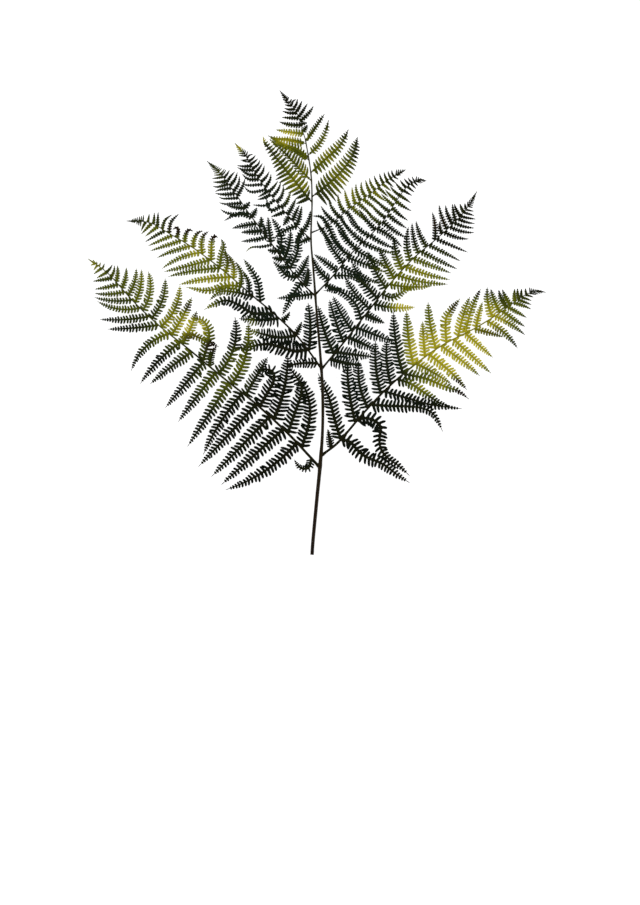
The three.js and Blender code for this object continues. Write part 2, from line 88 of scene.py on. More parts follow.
# %% Node helper and colours
def linear(hex_colour):
    """Turn an sRGB hex colour into the linear colour that shaders work with."""
    channels = [int(hex_colour[place:place + 2], 16) / 255 for place in (1, 3, 5)]
    bent = [c / 12.92 if c <= 0.04045 else ((c + 0.055) / 1.055) ** 2.4 for c in channels]
    return (*bent, 1.0)


def add_node(tree, kind, inputs=None, **settings):
    """Add a node to a tree, set its properties, and set or link its inputs."""
    made = tree.nodes.new(kind)
    for name, value in settings.items():
        setattr(made, name, value)
    for name, value in (inputs or {}).items():
        if isinstance(value, bpy.types.NodeSocket):
            tree.links.new(value, made.inputs[name])
        else:
            made.inputs[name].default_value = value
    return made


def new_material(name):
    """A material with an empty node tree."""
    material = bpy.data.materials.new(name)
    material.use_nodes = True
    material.node_tree.nodes.clear()
    return material


print("mid grey in linear light:", round(linear("#808080")[0], 3))

# %% Studio light
SKY_AT_HORIZON = 0.9
SKY_OVERHEAD = 0.12
SKY_FADE = (0.15, 0.85)
scene = bpy.context.scene
scene.view_settings.view_transform = "Standard"
sky = bpy.data.worlds.new("soft_studio")
sky.use_nodes = True
sky.node_tree.nodes.clear()
direction = add_node(sky.node_tree, "ShaderNodeTexCoord").outputs["Generated"]
height = add_node(sky.node_tree, "ShaderNodeSeparateXYZ", {"Vector": direction}).outputs["Z"]
brightness = add_node(sky.node_tree, "ShaderNodeMapRange", {
    "Value": height, "From Min": SKY_FADE[0], "From Max": SKY_FADE[1],
    "To Min": SKY_AT_HORIZON, "To Max": SKY_OVERHEAD,
})
glow = add_node(sky.node_tree, "ShaderNodeBackground", {
    "Color": linear("#f4f6fa"), "Strength": brightness.outputs["Result"],
})
add_node(sky.node_tree, "ShaderNodeOutputWorld", {"Surface": glow.outputs["Background"]})
scene.world = sky


def soft_panel(name, place, size, power):
    """A square light panel at a place in metres, facing the middle of the frond."""
    data = bpy.data.lights.new(name, "AREA")
    data.size = size
    data.energy = power
    panel = bpy.data.objects.new(name, data)
    panel.location = place
    toward = -panel.location
    panel.rotation_euler = toward.to_track_quat("-Z", "Y").to_euler()
    scene.collection.objects.link(panel)
    return panel


soft_panel("key_panel", place=(-1.5, 1.1, 1.3), size=1.2, power=34)
soft_panel("fill_panel", place=(1.6, -0.9, 1.3), size=1.4, power=20)

# %% Floor: matt white card, lifted by a weak glow so that it reads as white paper
FLOOR_GLOW = 0.92
FLOOR_HALF = 5.0
card = new_material("matt_white_card")
tree = card.node_tree
card_shader = add_node(tree, "ShaderNodeBsdfPrincipled", {
    "Base Color": linear("#9c9c9c"),
    "Roughness": 0.9,
    "Specular IOR Level": 0.1,
    "Emission Color": linear("#ffffff"),
    "Emission Strength": FLOOR_GLOW,
})
add_node(tree, "ShaderNodeOutputMaterial", {"Surface": card_shader.outputs["BSDF"]})

corners = [(-1, -1), (1, -1), (1, 1), (-1, 1)]
floor_mesh = bpy.data.meshes.new("floor")
floor_mesh.from_pydata([(x * FLOOR_HALF, y * FLOOR_HALF, 0) for x, y in corners], [], [(0, 1, 2, 3)])
floor_mesh.materials.append(card)
floor = bpy.data.objects.new("floor", floor_mesh)
scene.collection.objects.link(floor)
print("floor side m:", 2 * FLOOR_HALF)

# %% [markdown]
# ## The plan of the frond
# Every pinna is described by the line of its costa and by its two rows of pinnules, "lower" on the
# side of the stalk's foot and "upper" on the side of the frond's tip, read from the picture as they
# are in the solid model. "ends" are the ends of a row's pinnules in order from the rachis.
# "first" and "last" say where on the costa the row starts and stops, as shares of its length,
# "crowding" how much it closes up toward the tip, and "bend" how much its pinnules curve. A pinnule
# that differs from its row is named by its number: its own place on the costa is in "at", its bend
# in "bends", its half width in "widths", and the places that it passes in "via". "basal" and
# "axil" are single pinnules that come before the lower and the upper row.

# %% Stalk stations: x, y and radius, foot first
STALK_STATIONS = [
    (-1, -15, 1.8), (0, 0, 1.8), (4, 43, 1.85), (7, 74, 1.9), (9.5, 110, 1.5), (9.5, 150, 1.5),
    (7, 188, 1.3), (4, 222, 1.15), (0.5, 268, 1.05), (-2, 300, 0.85), (-1, 335, 0.75),
    (-2, 365, 0.65), (-7, 397, 0.5), (-9.3, 406, 0.45),
]
print("stalk stations:", len(STALK_STATIONS))

# %% Left pinnae, from the foot up
LEFT_PINNAE = [
    dict(
        name="left_pinna_1",
        costa=[
            (5, 74.5), (-24.5, 106), (-57, 136), (-92, 164), (-124.5, 191), (-154, 214.5),
            (-180, 239), (-205, 266.5), (-226, 282),
        ],
        lower=dict(
            first=0.1, last=0.97, crowding=1.5, bend=0,
            bends={0: -0.07, 4: 0.04, 9: 0.05, 10: 0.13, 13: -0.1, 14: -0.06, 15: -0.05},
            widths={
                0: 7.2, 1: 7.4, 2: 7.4, 3: 7.2, 4: 7, 5: 6.8, 6: 6.6, 7: 6.4, 8: 5.8, 9: 5.4, 10: 5,
                11: 4.6, 12: 4.2, 13: 3.7, 14: 3.3, 15: 2.9,
            },
            ends=[
                (-88, 50), (-92, 55), (-102, 63), (-115, 73), (-110, 85), (-126, 93), (-135, 118),
                (-148, 132), (-163, 156), (-173, 156), (-182, 169), (-206, 211), (-214, 221),
                (-216, 239), (-219, 243), (-219, 247), (-219, 251), (-221, 259), (-217, 262),
                (-220, 266), (-220, 270), (-223, 275),
            ],
        ),
        upper=dict(
            first=0.077, last=0.97, crowding=1.7, bend=-0.08,
            at={7: 0.471, 8: 0.5},
            bends={4: 0, 5: -0.1, 6: -0.13, 7: 0.1, 10: -0.03, 13: -0.12},
            widths={
                0: 8, 1: 8, 2: 9.5, 3: 8.5, 4: 7, 5: 7, 6: 7, 7: 4.5, 8: 6.5, 9: 6, 10: 5.4,
                11: 5.2, 12: 5, 13: 4.7, 14: 4.1, 15: 3.7, 16: 3.2, 17: 2.8,
            },
            ends=[
                (-15, 164), (-25, 174), (-25, 186), (-59, 170), (-45, 183), (-65, 218), (-78, 223),
                (-96, 194), (-122, 222), (-116, 229), (-121, 243), (-133, 255), (-148, 262),
                (-165, 269), (-172, 271), (-177, 272), (-187, 273), (-196, 275), (-199, 275),
                (-201, 276), (-209, 277), (-213, 278), (-217, 279), (-221, 281),
            ],
            via={
                0: [(-4.5, 115), (-3, 132), (-7, 149)],
                1: [(-17.5, 129), (-12.5, 143), (-11.5, 153), (-16, 162)],
                3: [(-45, 148), (-39, 160), (-42, 169.5)],
                8: [(-105.5, 195), (-104, 208), (-110, 219)],
            },
        ),
        basal=dict(at=0.03, end=(-19, 80.5), via=[(-5, 72), (-13, 72.5)]),
        axil=dict(at=0.592, end=(-94, 193), via=[(-123, 205), (-109, 200)]),
    ),
    dict(
        name="left_pinna_2",
        costa=[
            (7.5, 172.5), (-14.5, 202), (-38, 225), (-60, 243.5), (-89.5, 269), (-118.5, 291),
            (-143, 306), (-163.5, 317.5), (-187.5, 319.5),
        ],
        lower=dict(
            first=0.04, last=0.96, crowding=1.65, bend=0.01,
            at={0: 0.018, 1: 0.087, 2: 0.159, 4: 0.284},
            bends={3: -0.04, 7: 0.03, 8: 0.03, 10: 0.07, 11: 0.03},
            widths={
                0: 5.2, 1: 9, 2: 8, 3: 7.5, 4: 7.5, 5: 5, 6: 4.2, 7: 4.2, 8: 4, 9: 3.6, 10: 3.2,
                11: 3, 12: 2.6, 13: 2.4, 14: 2.1,
            },
            ends=[
                (-30, 172), (-79, 190), (-64, 210), (-74, 221), (-109, 229.5), (-103.5, 239),
                (-127, 252.5), (-134, 255), (-145, 263), (-149, 268), (-151, 271), (-156, 282),
                (-163, 289), (-165, 294), (-168, 298), (-168, 303.5), (-172, 306), (-172, 309),
                (-173, 313.5), (-176, 315.5), (-179, 317),
            ],
            via={
                1: [(-18, 188.5), (-32, 192.5), (-47, 195.5), (-62, 193)],
                2: [(-32, 202), (-50, 205.5)],
                4: [(-60, 226.5), (-73, 234), (-86, 239), (-98, 235.5)],
                5: [(-76, 247), (-92, 248)],
                6: [(-86, 254), (-105, 249)],
            },
        ),
        upper=dict(
            bend=-0.03,
            at={
                0: 0.08, 1: 0.162, 2: 0.24, 3: 0.353, 4: 0.411, 5: 0.456, 6: 0.496, 7: 0.536,
                8: 0.568, 9: 0.612, 10: 0.655, 11: 0.7, 12: 0.741, 13: 0.778, 14: 0.814, 15: 0.846,
                16: 0.869, 17: 0.888, 18: 0.911, 19: 0.931,
            },
            bends={0: -0.04},
            widths={
                0: 7.5, 1: 3.4, 2: 3.2, 3: 4.2, 4: 3.2, 5: 3.2, 6: 3.4, 7: 3.4, 8: 4.2, 9: 3.8,
                10: 3.4, 11: 3, 12: 2.8, 13: 2.4, 14: 2.2, 15: 1.9,
            },
            ends=[
                (-5, 237), (-11, 218), (-23, 228), (-69.5, 281), (-70, 269), (-77, 278), (-84, 285),
                (-88, 290), (-92, 301), (-94.5, 301.5), (-104, 308.5), (-109.5, 309),
                (-119.5, 308.5), (-140.5, 310.5), (-134, 326.5), (-141, 325.5), (-155, 328.5),
                (-159, 328), (-164, 326.5), (-169.5, 325.5),
            ],
            via={
                3: [(-55, 257), (-62, 270)],
                4: [(-64.5, 258)],
                5: [(-71.5, 266)],
                6: [(-79, 273)],
                7: [(-85, 278)],
                8: [(-91.5, 284), (-89, 294)],
                9: [(-101.5, 290), (-101, 299), (-98.5, 304)],
                10: [(-111.5, 295), (-109.5, 304)],
                11: [(-119, 300), (-115, 307)],
                12: [(-127.5, 304), (-124.5, 310)],
                13: [(-134.5, 308.5), (-136, 312.5)],
                14: [(-142, 318)],
                15: [(-148, 320)],
            },
        ),
    ),
    dict(
        name="left_pinna_3",
        costa=[
            (2.5, 243), (-13, 258.5), (-31.5, 281.5), (-46, 302.5), (-62, 323.5), (-76.5, 344.5),
            (-94, 368), (-106.5, 379.5),
        ],
        lower=dict(
            bend=-0.03,
            at={
                0: 0.02, 1: 0.113, 2: 0.151, 3: 0.223, 4: 0.28, 5: 0.338, 6: 0.385, 7: 0.439,
                8: 0.483, 9: 0.534, 10: 0.578, 11: 0.608, 12: 0.644, 13: 0.68, 14: 0.716, 15: 0.749,
                16: 0.785, 17: 0.815, 18: 0.837, 19: 0.866, 20: 0.885, 21: 0.903,
            },
            widths={
                0: 4.4, 1: 4.8, 2: 5, 3: 4, 4: 4, 5: 3.6, 6: 1.6, 7: 3, 8: 4.1, 9: 3.7, 10: 2.5,
                11: 2.8, 12: 3, 13: 2, 14: 1.7,
            },
            ends=[
                (-36, 241), (-30.5, 224), (-40, 278), (-35, 273), (-41, 282), (-45.5, 289.5),
                (-67, 287.5), (-72, 298), (-72, 307), (-81, 311), (-89, 318.5), (-92.5, 330.5),
                (-86, 334), (-94, 337), (-94.5, 343), (-98, 346.5), (-98, 348), (-100.5, 353.5),
                (-100.5, 358), (-101, 361.5), (-99.5, 365), (-99.5, 367),
            ],
            via={
                1: [(-22, 241)],
                2: [(-26, 264), (-33, 271.5)],
                6: [(-51, 292.5), (-61, 292)],
                10: [(-75, 325.5)],
                11: [(-78, 325), (-87, 327)],
                13: [(-86, 335.5)],
                14: [(-89, 341)],
                16: [(-93, 350)],
                17: [(-94.5, 353)],
            },
        ),
        upper=dict(
            bend=-0.06,
            at={
                0: 0.086, 1: 0.151, 2: 0.215, 3: 0.259, 4: 0.273, 5: 0.325, 6: 0.332, 7: 0.397,
                8: 0.452, 9: 0.508, 10: 0.584, 11: 0.65, 12: 0.729, 13: 0.763, 14: 0.8, 15: 0.83,
                16: 0.859, 17: 0.879, 18: 0.891, 19: 0.908,
            },
            widths={
                0: 5.8, 1: 5, 2: 5.2, 3: 4, 4: 5.6, 5: 4, 6: 4.4, 7: 3.8, 8: 3.4, 9: 3.7, 10: 3.4,
                11: 3,
            },
            ends=[
                (-5, 272), (-4, 284.5), (-15, 306), (-20, 282), (-22, 309), (-28, 294),
                (-41.5, 322), (-45, 323), (-51, 316), (-52, 323), (-56, 332), (-63, 338),
                (-68, 361.5), (-73.5, 364), (-75.5, 368), (-78, 368.5), (-83.5, 370), (-87, 370.5),
                (-88.5, 371.5), (-91, 372),
            ],
            via={
                1: [(-10, 271)],
                2: [(-17.5, 282), (-14.5, 293)],
                3: [(-25, 277)],
                4: [(-25, 290), (-23, 299)],
                5: [(-32, 287)],
                6: [(-31.5, 297), (-32.5, 306), (-36.5, 314)],
                7: [(-43.5, 308)],
                12: [(-70, 354)],
                13: [(-74.5, 356)],
                14: [(-78, 360.5)],
                15: [(-82, 364)],
            },
        ),
    ),
    dict(
        name="left_pinna_4",
        costa=[
            (-2, 299.5), (-15, 312.5), (-31.5, 331.5), (-44, 347), (-55, 362.5), (-66, 382),
            (-78.5, 397.5),
        ],
        lower=dict(
            bend=-0.03,
            at={
                0: 0.018, 1: 0.088, 2: 0.155, 3: 0.256, 4: 0.309, 5: 0.364, 6: 0.432, 7: 0.489,
                8: 0.521, 9: 0.54, 10: 0.59, 11: 0.641, 12: 0.682, 13: 0.727, 14: 0.766, 15: 0.804,
                16: 0.826, 17: 0.861,
            },
            widths={
                0: 3.4, 1: 3.6, 2: 3.4, 3: 3.6, 4: 2.3, 5: 2.3, 6: 1.9, 7: 2, 8: 1.6, 9: 2, 10: 1.8,
            },
            ends=[
                (-14.5, 296), (-16, 290), (-39.5, 300), (-30, 313.5), (-42, 322.5), (-46.5, 342.5),
                (-60.5, 334.5), (-55.5, 340), (-55, 342.5), (-69, 353), (-72, 358), (-71, 366),
                (-74, 371.5), (-76, 372.5), (-76, 374.5), (-71, 379), (-73, 380), (-74.5, 385),
            ],
            via={
                1: [(-14.5, 302)],
                2: [(-23, 311), (-30, 307.5)],
                5: [(-41, 328.5), (-45, 333.5)],
                6: [(-47, 334)],
                9: [(-61.5, 347.5)],
                10: [(-66, 354.5)],
                11: [(-64.5, 360.5)],
                12: [(-64, 365)],
                13: [(-69, 370)],
            },
        ),
        upper=dict(
            bend=-0.06,
            at={
                0: 0.094, 1: 0.162, 2: 0.212, 3: 0.274, 4: 0.356, 5: 0.412, 6: 0.464, 7: 0.515,
                8: 0.559, 9: 0.615, 10: 0.661, 11: 0.704, 12: 0.743, 13: 0.781, 14: 0.811, 15: 0.84,
                16: 0.861,
            },
            widths={0: 3.2, 1: 2.9, 2: 2.8, 3: 2.8, 4: 2.5, 5: 2.3, 6: 2},
            ends=[
                (-2.5, 329), (-11, 333.5), (-13.5, 334.5), (-17, 341), (-22, 348), (-29.5, 354),
                (-32, 357.5), (-35, 359), (-42, 366), (-43.5, 368.5), (-48.5, 374.5), (-50.5, 377),
                (-53, 380), (-55, 381.5), (-57.5, 385), (-60, 386), (-65.5, 389),
            ],
            via={
                0: [(-6, 314), (-3.5, 321)],
                1: [(-13.5, 322)],
                2: [(-17, 327)],
                3: [(-21, 332)],
                4: [(-27, 336)],
                5: [(-32.5, 341), (-30, 347.5)],
                6: [(-35, 349.5)],
                8: [(-43, 359.5)],
                9: [(-47, 362.5)],
                10: [(-50.5, 367.5)],
                12: [(-55, 375.5)],
                15: [(-64, 384.5)],
            },
        ),
    ),
    dict(
        name="left_pinna_5",
        costa=[
            (-1, 337), (-9.5, 347.5), (-17.5, 357.5), (-31, 374.5), (-42.5, 389.5), (-48.5, 397),
            (-50, 404),
        ],
        lower=dict(
            first=0.07, last=0.88, crowding=1.2,
            ends=[
                (-17, 335.5), (-18.5, 341.5), (-28, 348), (-31.5, 354), (-38, 360), (-37, 364),
                (-37.5, 368), (-40, 372.5), (-41.5, 377.5), (-43, 381.5), (-46, 387), (-48.5, 392),
            ],
        ),
        upper=dict(
            first=0.09, last=0.86, crowding=1.2,
            ends=[
                (-3.5, 350), (-4, 355), (-6, 360), (-11, 366), (-15.5, 370), (-20.5, 375),
                (-25, 381), (-29, 386), (-34, 390), (-38, 393), (-42.5, 396.5),
            ],
        ),
    ),
    dict(
        name="left_pinna_6",
        costa=[(-2, 359), (-13, 370.5), (-27.5, 386), (-36, 394), (-43.5, 401)],
        lower=dict(
            first=0.1, last=0.9, crowding=1.1,
            ends=[
                (-13.5, 362.5), (-18, 369), (-22.5, 375.5), (-27.5, 381.5), (-33, 387.5),
                (-38, 392), (-42, 397),
            ],
        ),
        upper=dict(
            first=0.12, last=0.88, crowding=1.1,
            ends=[
                (-5.5, 373), (-8.5, 378), (-12, 382.5), (-17, 387), (-22, 391), (-28, 394.5),
                (-34, 397.5), (-38.5, 400),
            ],
        ),
    ),
    dict(
        name="left_pinna_between",
        costa=[(-4.5, 380), (-11, 385.5), (-18, 390), (-26, 393.5), (-34, 398), (-43, 402.5)],
        lower=dict(
            first=0.1, last=0.9, crowding=1.1,
            ends=[(-12, 380), (-19, 382.5), (-26, 387), (-33, 391.5), (-39, 397)],
        ),
        upper=dict(
            first=0.12, last=0.9, crowding=1.1,
            ends=[(-7, 388), (-12, 393.5), (-19, 396.5), (-27, 399), (-35, 401.5)],
        ),
    ),
    dict(
        name="left_pinna_7",
        costa=[(-7.5, 396.5), (-15, 398.5), (-23, 400), (-30, 401), (-37, 401.5), (-45, 404.5)],
        lower=dict(
            first=0.14, last=0.85, crowding=1,
            ends=[(-12, 392), (-18, 392.5), (-24, 394), (-31, 396), (-38, 398.5)],
        ),
        upper=dict(
            first=0.14, last=0.85, crowding=1,
            ends=[(-13, 402), (-19, 403.5), (-25, 404), (-31, 404), (-38, 404.5)],
        ),
    ),
]
print("left pinnae:", len(LEFT_PINNAE))

# %% Right pinnae, from the foot up
RIGHT_PINNAE = [
    dict(
        name="right_pinna_1",
        costa=[
            (10.5, 86), (26.5, 99), (51, 127.5), (75, 152.5), (99.5, 173.5), (128, 194),
            (161.5, 211.5), (189.5, 229), (208.5, 243), (223, 249), (234, 248),
        ],
        lower=dict(
            first=0.08, last=0.955, crowding=1.6, bend=0.02,
            at={
                1: 0.167, 2: 0.244, 3: 0.31, 4: 0.373, 11: 0.703, 12: 0.755, 13: 0.789, 14: 0.821,
                15: 0.845, 16: 0.87, 17: 0.89, 18: 0.905, 19: 0.921, 20: 0.938,
            },
            bends={11: 0, 12: 0.07, 13: 0.04},
            widths={
                0: 8, 1: 7.5, 2: 6.5, 3: 5.5, 4: 5.5, 5: 5.5, 6: 5.5, 8: 4.8, 9: 4.6, 10: 4.2,
                11: 3.6, 12: 4, 13: 3.6, 14: 3.3, 15: 2.8, 16: 2.3, 17: 1.8, 18: 1.4, 19: 1.1,
                20: 0.8,
            },
            ends=[
                (97, 57), (97, 64), (130, 108), (150, 131), (139, 132.5), (156.5, 140.5),
                (138.5, 156), (154, 150), (167, 164), (178.5, 166.5), (180, 182.5), (191, 203),
                (205, 191.5), (212.5, 205), (212.5, 213.5), (214, 222.5), (218.5, 231),
                (219, 235.5), (219, 239.5), (221, 243), (224, 245.5),
            ],
            via={
                0: [(37, 98), (46.5, 88), (54.5, 82.5), (64.5, 78.5), (73, 74), (84.5, 65)],
                1: [
                    (51, 122), (61, 119.5), (67.5, 113.5), (67, 106), (66.5, 98), (69, 89),
                    (75.5, 81.5), (86, 74),
                ],
                2: [(77, 134), (97, 133.5), (112, 131), (122, 124)],
                3: [(85, 144.5), (99, 140.5), (117, 135.5)],
                4: [(97, 156.5), (111, 147.5), (125, 138)],
                5: [(112, 161.5), (133, 153), (145, 149)],
            },
        ),
        upper=dict(
            first=0.08, last=0.955, crowding=1.5, bend=-0.04,
            at={
                1: 0.161, 2: 0.228, 3: 0.295, 4: 0.344, 5: 0.401, 6: 0.449, 7: 0.5, 8: 0.548,
                9: 0.591, 10: 0.637, 13: 0.78, 14: 0.812, 15: 0.841, 16: 0.856, 17: 0.877,
                18: 0.893, 19: 0.905, 20: 0.926, 21: 0.942,
            },
            widths={
                0: 7.5, 1: 7.8, 2: 7.6, 3: 7.2, 4: 7, 5: 6.6, 6: 6.4, 7: 5.2, 8: 5.6, 9: 5.4, 10: 5,
                11: 4.2, 12: 3.8, 13: 4.4, 14: 4.2, 15: 3.8, 16: 3.2, 17: 2.4, 18: 1.9, 19: 1.5,
                20: 1.2, 21: 0.8,
            },
            ends=[
                (5, 167), (34.5, 182), (46, 180), (62.5, 199.5), (74, 201), (80.5, 228.5),
                (93.5, 229.5), (109.5, 218.5), (115, 238), (147, 241.5), (157, 243.5), (168, 251.5),
                (169.5, 238), (174.5, 253), (178, 251.5), (186, 250.5), (189.5, 251), (202, 251.5),
                (205, 252), (209, 251.5), (213, 252), (217, 253),
            ],
            via={
                0: [(21.5, 121), (16, 142), (9.5, 156)],
                9: [(132.5, 211), (134, 224)],
            },
        ),
        axil=dict(at=0.035, end=(14.8, 111)),
    ),
    dict(
        name="right_pinna_2",
        costa=[
            (10.5, 173), (33, 200), (54, 227), (77.5, 256.5), (100.5, 281.5), (123.5, 301),
            (145, 321), (156.5, 336), (164.5, 349.5),
        ],
        lower=dict(
            first=0.045, last=0.95, crowding=1.45, bend=-0.02,
            at={
                0: 0.044, 1: 0.081, 2: 0.162, 3: 0.215, 14: 0.771, 15: 0.804, 16: 0.83, 17: 0.853,
                18: 0.869, 19: 0.89, 20: 0.906, 21: 0.924,
            },
            bends={0: -0.04, 5: -0.05, 14: -0.07, 15: -0.07, 16: -0.06, 17: -0.05},
            widths={
                0: 7.6, 1: 7, 2: 6.5, 3: 6.5, 4: 5, 5: 5.5, 6: 4.2, 7: 4.2, 8: 4, 9: 3.8, 10: 3.4,
                11: 3, 12: 2.6, 13: 2.3, 14: 2.6, 15: 2.4, 16: 2.2, 17: 1.9, 18: 1.6, 19: 1.4,
                20: 1, 21: 0.9,
            },
            ends=[
                (49, 175), (60, 183), (63.5, 189), (81.5, 197), (71.5, 216.5), (102, 232.5),
                (105, 253.5), (119, 253.5), (135, 255.5), (137, 260), (138, 266.5), (144.5, 270.5),
                (147.5, 278.5), (155, 287.5), (156, 301), (161.5, 307.5), (161.5, 312),
                (162, 316.5), (163, 321), (161.5, 324.5), (161, 329), (160, 332.5),
            ],
            via={
                6: [(80, 242), (93, 250)],
            },
        ),
        upper=dict(
            first=0.07, last=0.95, crowding=1.45, bend=-0.05,
            at={14: 0.788, 15: 0.82, 16: 0.839, 17: 0.869, 18: 0.89, 19: 0.906, 20: 0.924},
            bends={9: -0.08, 12: 0.06},
            widths={
                0: 7.5, 1: 6, 2: 6, 3: 5, 4: 5, 5: 6, 6: 5, 7: 5, 8: 5, 9: 3.6, 10: 3.2, 11: 3.2,
                12: 3, 13: 2.6, 14: 2.8, 15: 2.7, 16: 2.4, 17: 2.2, 18: 1.8, 19: 1.4, 20: 1,
            },
            ends=[
                (5, 234), (16.5, 240), (20, 243.5), (10.5, 249), (32, 263), (39, 278), (54.5, 289),
                (66, 293), (80.5, 303), (95.5, 313), (99, 317), (103, 319), (119, 328), (127, 319),
                (126, 335.5), (132.5, 335), (139.5, 336.5), (141.5, 336.5), (147, 336.5),
                (152, 337), (155, 339),
            ],
            via={
                3: [(42, 236), (27, 248)],
            },
        ),
    ),
    dict(
        name="right_pinna_3",
        costa=[
            (4, 246.5), (20.5, 264), (38.5, 286), (59.5, 306.5), (73, 322.5), (83.5, 339),
            (94, 353), (106.5, 360), (114, 359),
        ],
        lower=dict(
            first=0.07, last=0.93, crowding=1.5, bend=-0.01,
            bends={5: -0.05, 7: 0.05},
            widths={0: 3.4, 1: 3.4, 2: 3.6, 3: 4, 4: 3.6, 5: 3, 6: 3},
            ends=[
                (32, 248.5), (61, 246), (67, 255), (73, 266.5), (78, 270), (82, 286), (81, 291),
                (89, 292), (93.5, 301.5), (94, 311), (95, 319), (98.5, 328.5), (98, 336.5),
                (99, 344), (101.5, 347.5), (103, 351), (105, 354), (108.5, 356.5),
            ],
            via={
                1: [(37, 263), (51, 256)],
            },
        ),
        upper=dict(
            first=0.115, last=0.93, crowding=1.55, bend=-0.05,
            at={0: 0.109, 1: 0.183},
            widths={0: 4.5, 1: 4, 2: 4, 3: 3.6, 4: 3.4, 5: 3.2, 6: 3},
            ends=[
                (-0.5, 283), (1, 285), (10.5, 305.5), (17.5, 304), (24, 311), (30, 319), (35, 321),
                (46, 330.5), (52, 331.5), (58, 335), (62, 341), (68, 346), (72, 350.5), (77, 354),
                (82, 358), (87, 360), (91, 361.5), (95, 362.5), (99, 363.5), (104, 364),
            ],
            via={
                1: [(12, 277.5)],
            },
        ),
    ),
    dict(
        name="right_pinna_4",
        costa=[
            (-0.5, 307), (15.5, 314), (30, 325.5), (44.5, 336.5), (59.5, 347.5), (73, 358.5),
            (93, 370.5),
        ],
        lower=dict(
            first=0.08, last=0.9, crowding=1.3, bend=0,
            ends=[
                (20, 292.5), (31.5, 287.5), (37.5, 295.5), (37, 307.5), (46.5, 311), (55, 317),
                (59, 323), (65.5, 328), (69, 333), (73, 338), (75, 342.5), (78, 348.5),
                (80.5, 352.5), (83, 356.5), (85.5, 360.5), (88.5, 365),
            ],
        ),
        upper=dict(
            first=0.08, last=0.9, crowding=1.3, bend=-0.07,
            ends=[
                (4, 319), (-0.5, 323.5), (8, 333.5), (15.5, 339.5), (25, 345.5), (31.5, 350),
                (39, 352.5), (43, 356), (48.5, 358), (52.5, 360), (56.5, 362), (61, 364.5),
                (66.5, 366.5), (71, 368), (75, 369), (79, 370), (84, 371),
            ],
            via={
                1: [(9, 322)],
            },
        ),
    ),
    dict(
        name="right_pinna_5",
        costa=[
            (-0.5, 343), (8.5, 350), (26.5, 366), (33.5, 374.5), (39.5, 385), (43, 395),
            (44.5, 403.5),
        ],
        lower=dict(
            first=0.08, last=0.88, crowding=1.2,
            ends=[
                (14, 334), (22, 336.5), (26.5, 343), (30, 348), (33, 352.5), (36, 357.5),
                (38.5, 362), (41, 367), (43, 372), (44.5, 377), (45.5, 382), (46.5, 387.5),
                (47, 393.5),
            ],
        ),
        upper=dict(
            first=0.1, last=0.86, crowding=1.2,
            ends=[
                (3.5, 356), (7, 361.5), (11, 366), (16, 370), (20, 374), (24, 378), (28, 382),
                (31.5, 386.5), (35, 391), (38.5, 397),
            ],
        ),
    ),
    dict(
        name="right_pinna_6",
        costa=[(-2, 367), (8.5, 377), (17.5, 385), (26.5, 394), (32, 402.5), (35.5, 411)],
        lower=dict(
            first=0.09, last=0.86, crowding=1.15,
            ends=[
                (5, 365), (11, 367.5), (15.5, 372), (19.5, 376), (23.5, 380.5), (27, 385),
                (30, 390), (33, 395), (35, 401),
            ],
        ),
        upper=dict(
            first=0.12, last=0.86, crowding=1.15,
            ends=[
                (0.5, 378), (4.5, 383), (8.5, 387), (13, 391), (17, 394.5), (21, 398), (25.5, 402),
                (30, 407),
            ],
        ),
    ),
    dict(
        name="right_pinna_7",
        costa=[(-4.5, 385), (5, 394), (11, 404), (14, 413.5), (15.5, 420.5)],
        lower=dict(
            first=0.12, last=0.84, crowding=1,
            ends=[(3, 386), (8, 391), (12, 397.5), (15, 404.5), (17, 412)],
        ),
        upper=dict(
            first=0.14, last=0.82, crowding=1,
            ends=[(-2.5, 393), (2.5, 398.5), (6.5, 404), (9.5, 409.5), (12, 415)],
        ),
    ),
    dict(
        name="right_pinna_8",
        costa=[(-7.2, 398.5), (3, 413.5), (11.5, 426.5)],
        lower=dict(
            first=0.16, last=0.82, crowding=1,
            ends=[(-1.5, 401), (2.5, 407), (6.5, 413.5), (10.5, 420.5)],
        ),
        upper=dict(
            first=0.18, last=0.8, crowding=1,
            ends=[(-5.5, 407.5), (-2, 412.5), (2, 418), (6.5, 424)],
        ),
    ),
]
print("right pinnae:", len(RIGHT_PINNAE))

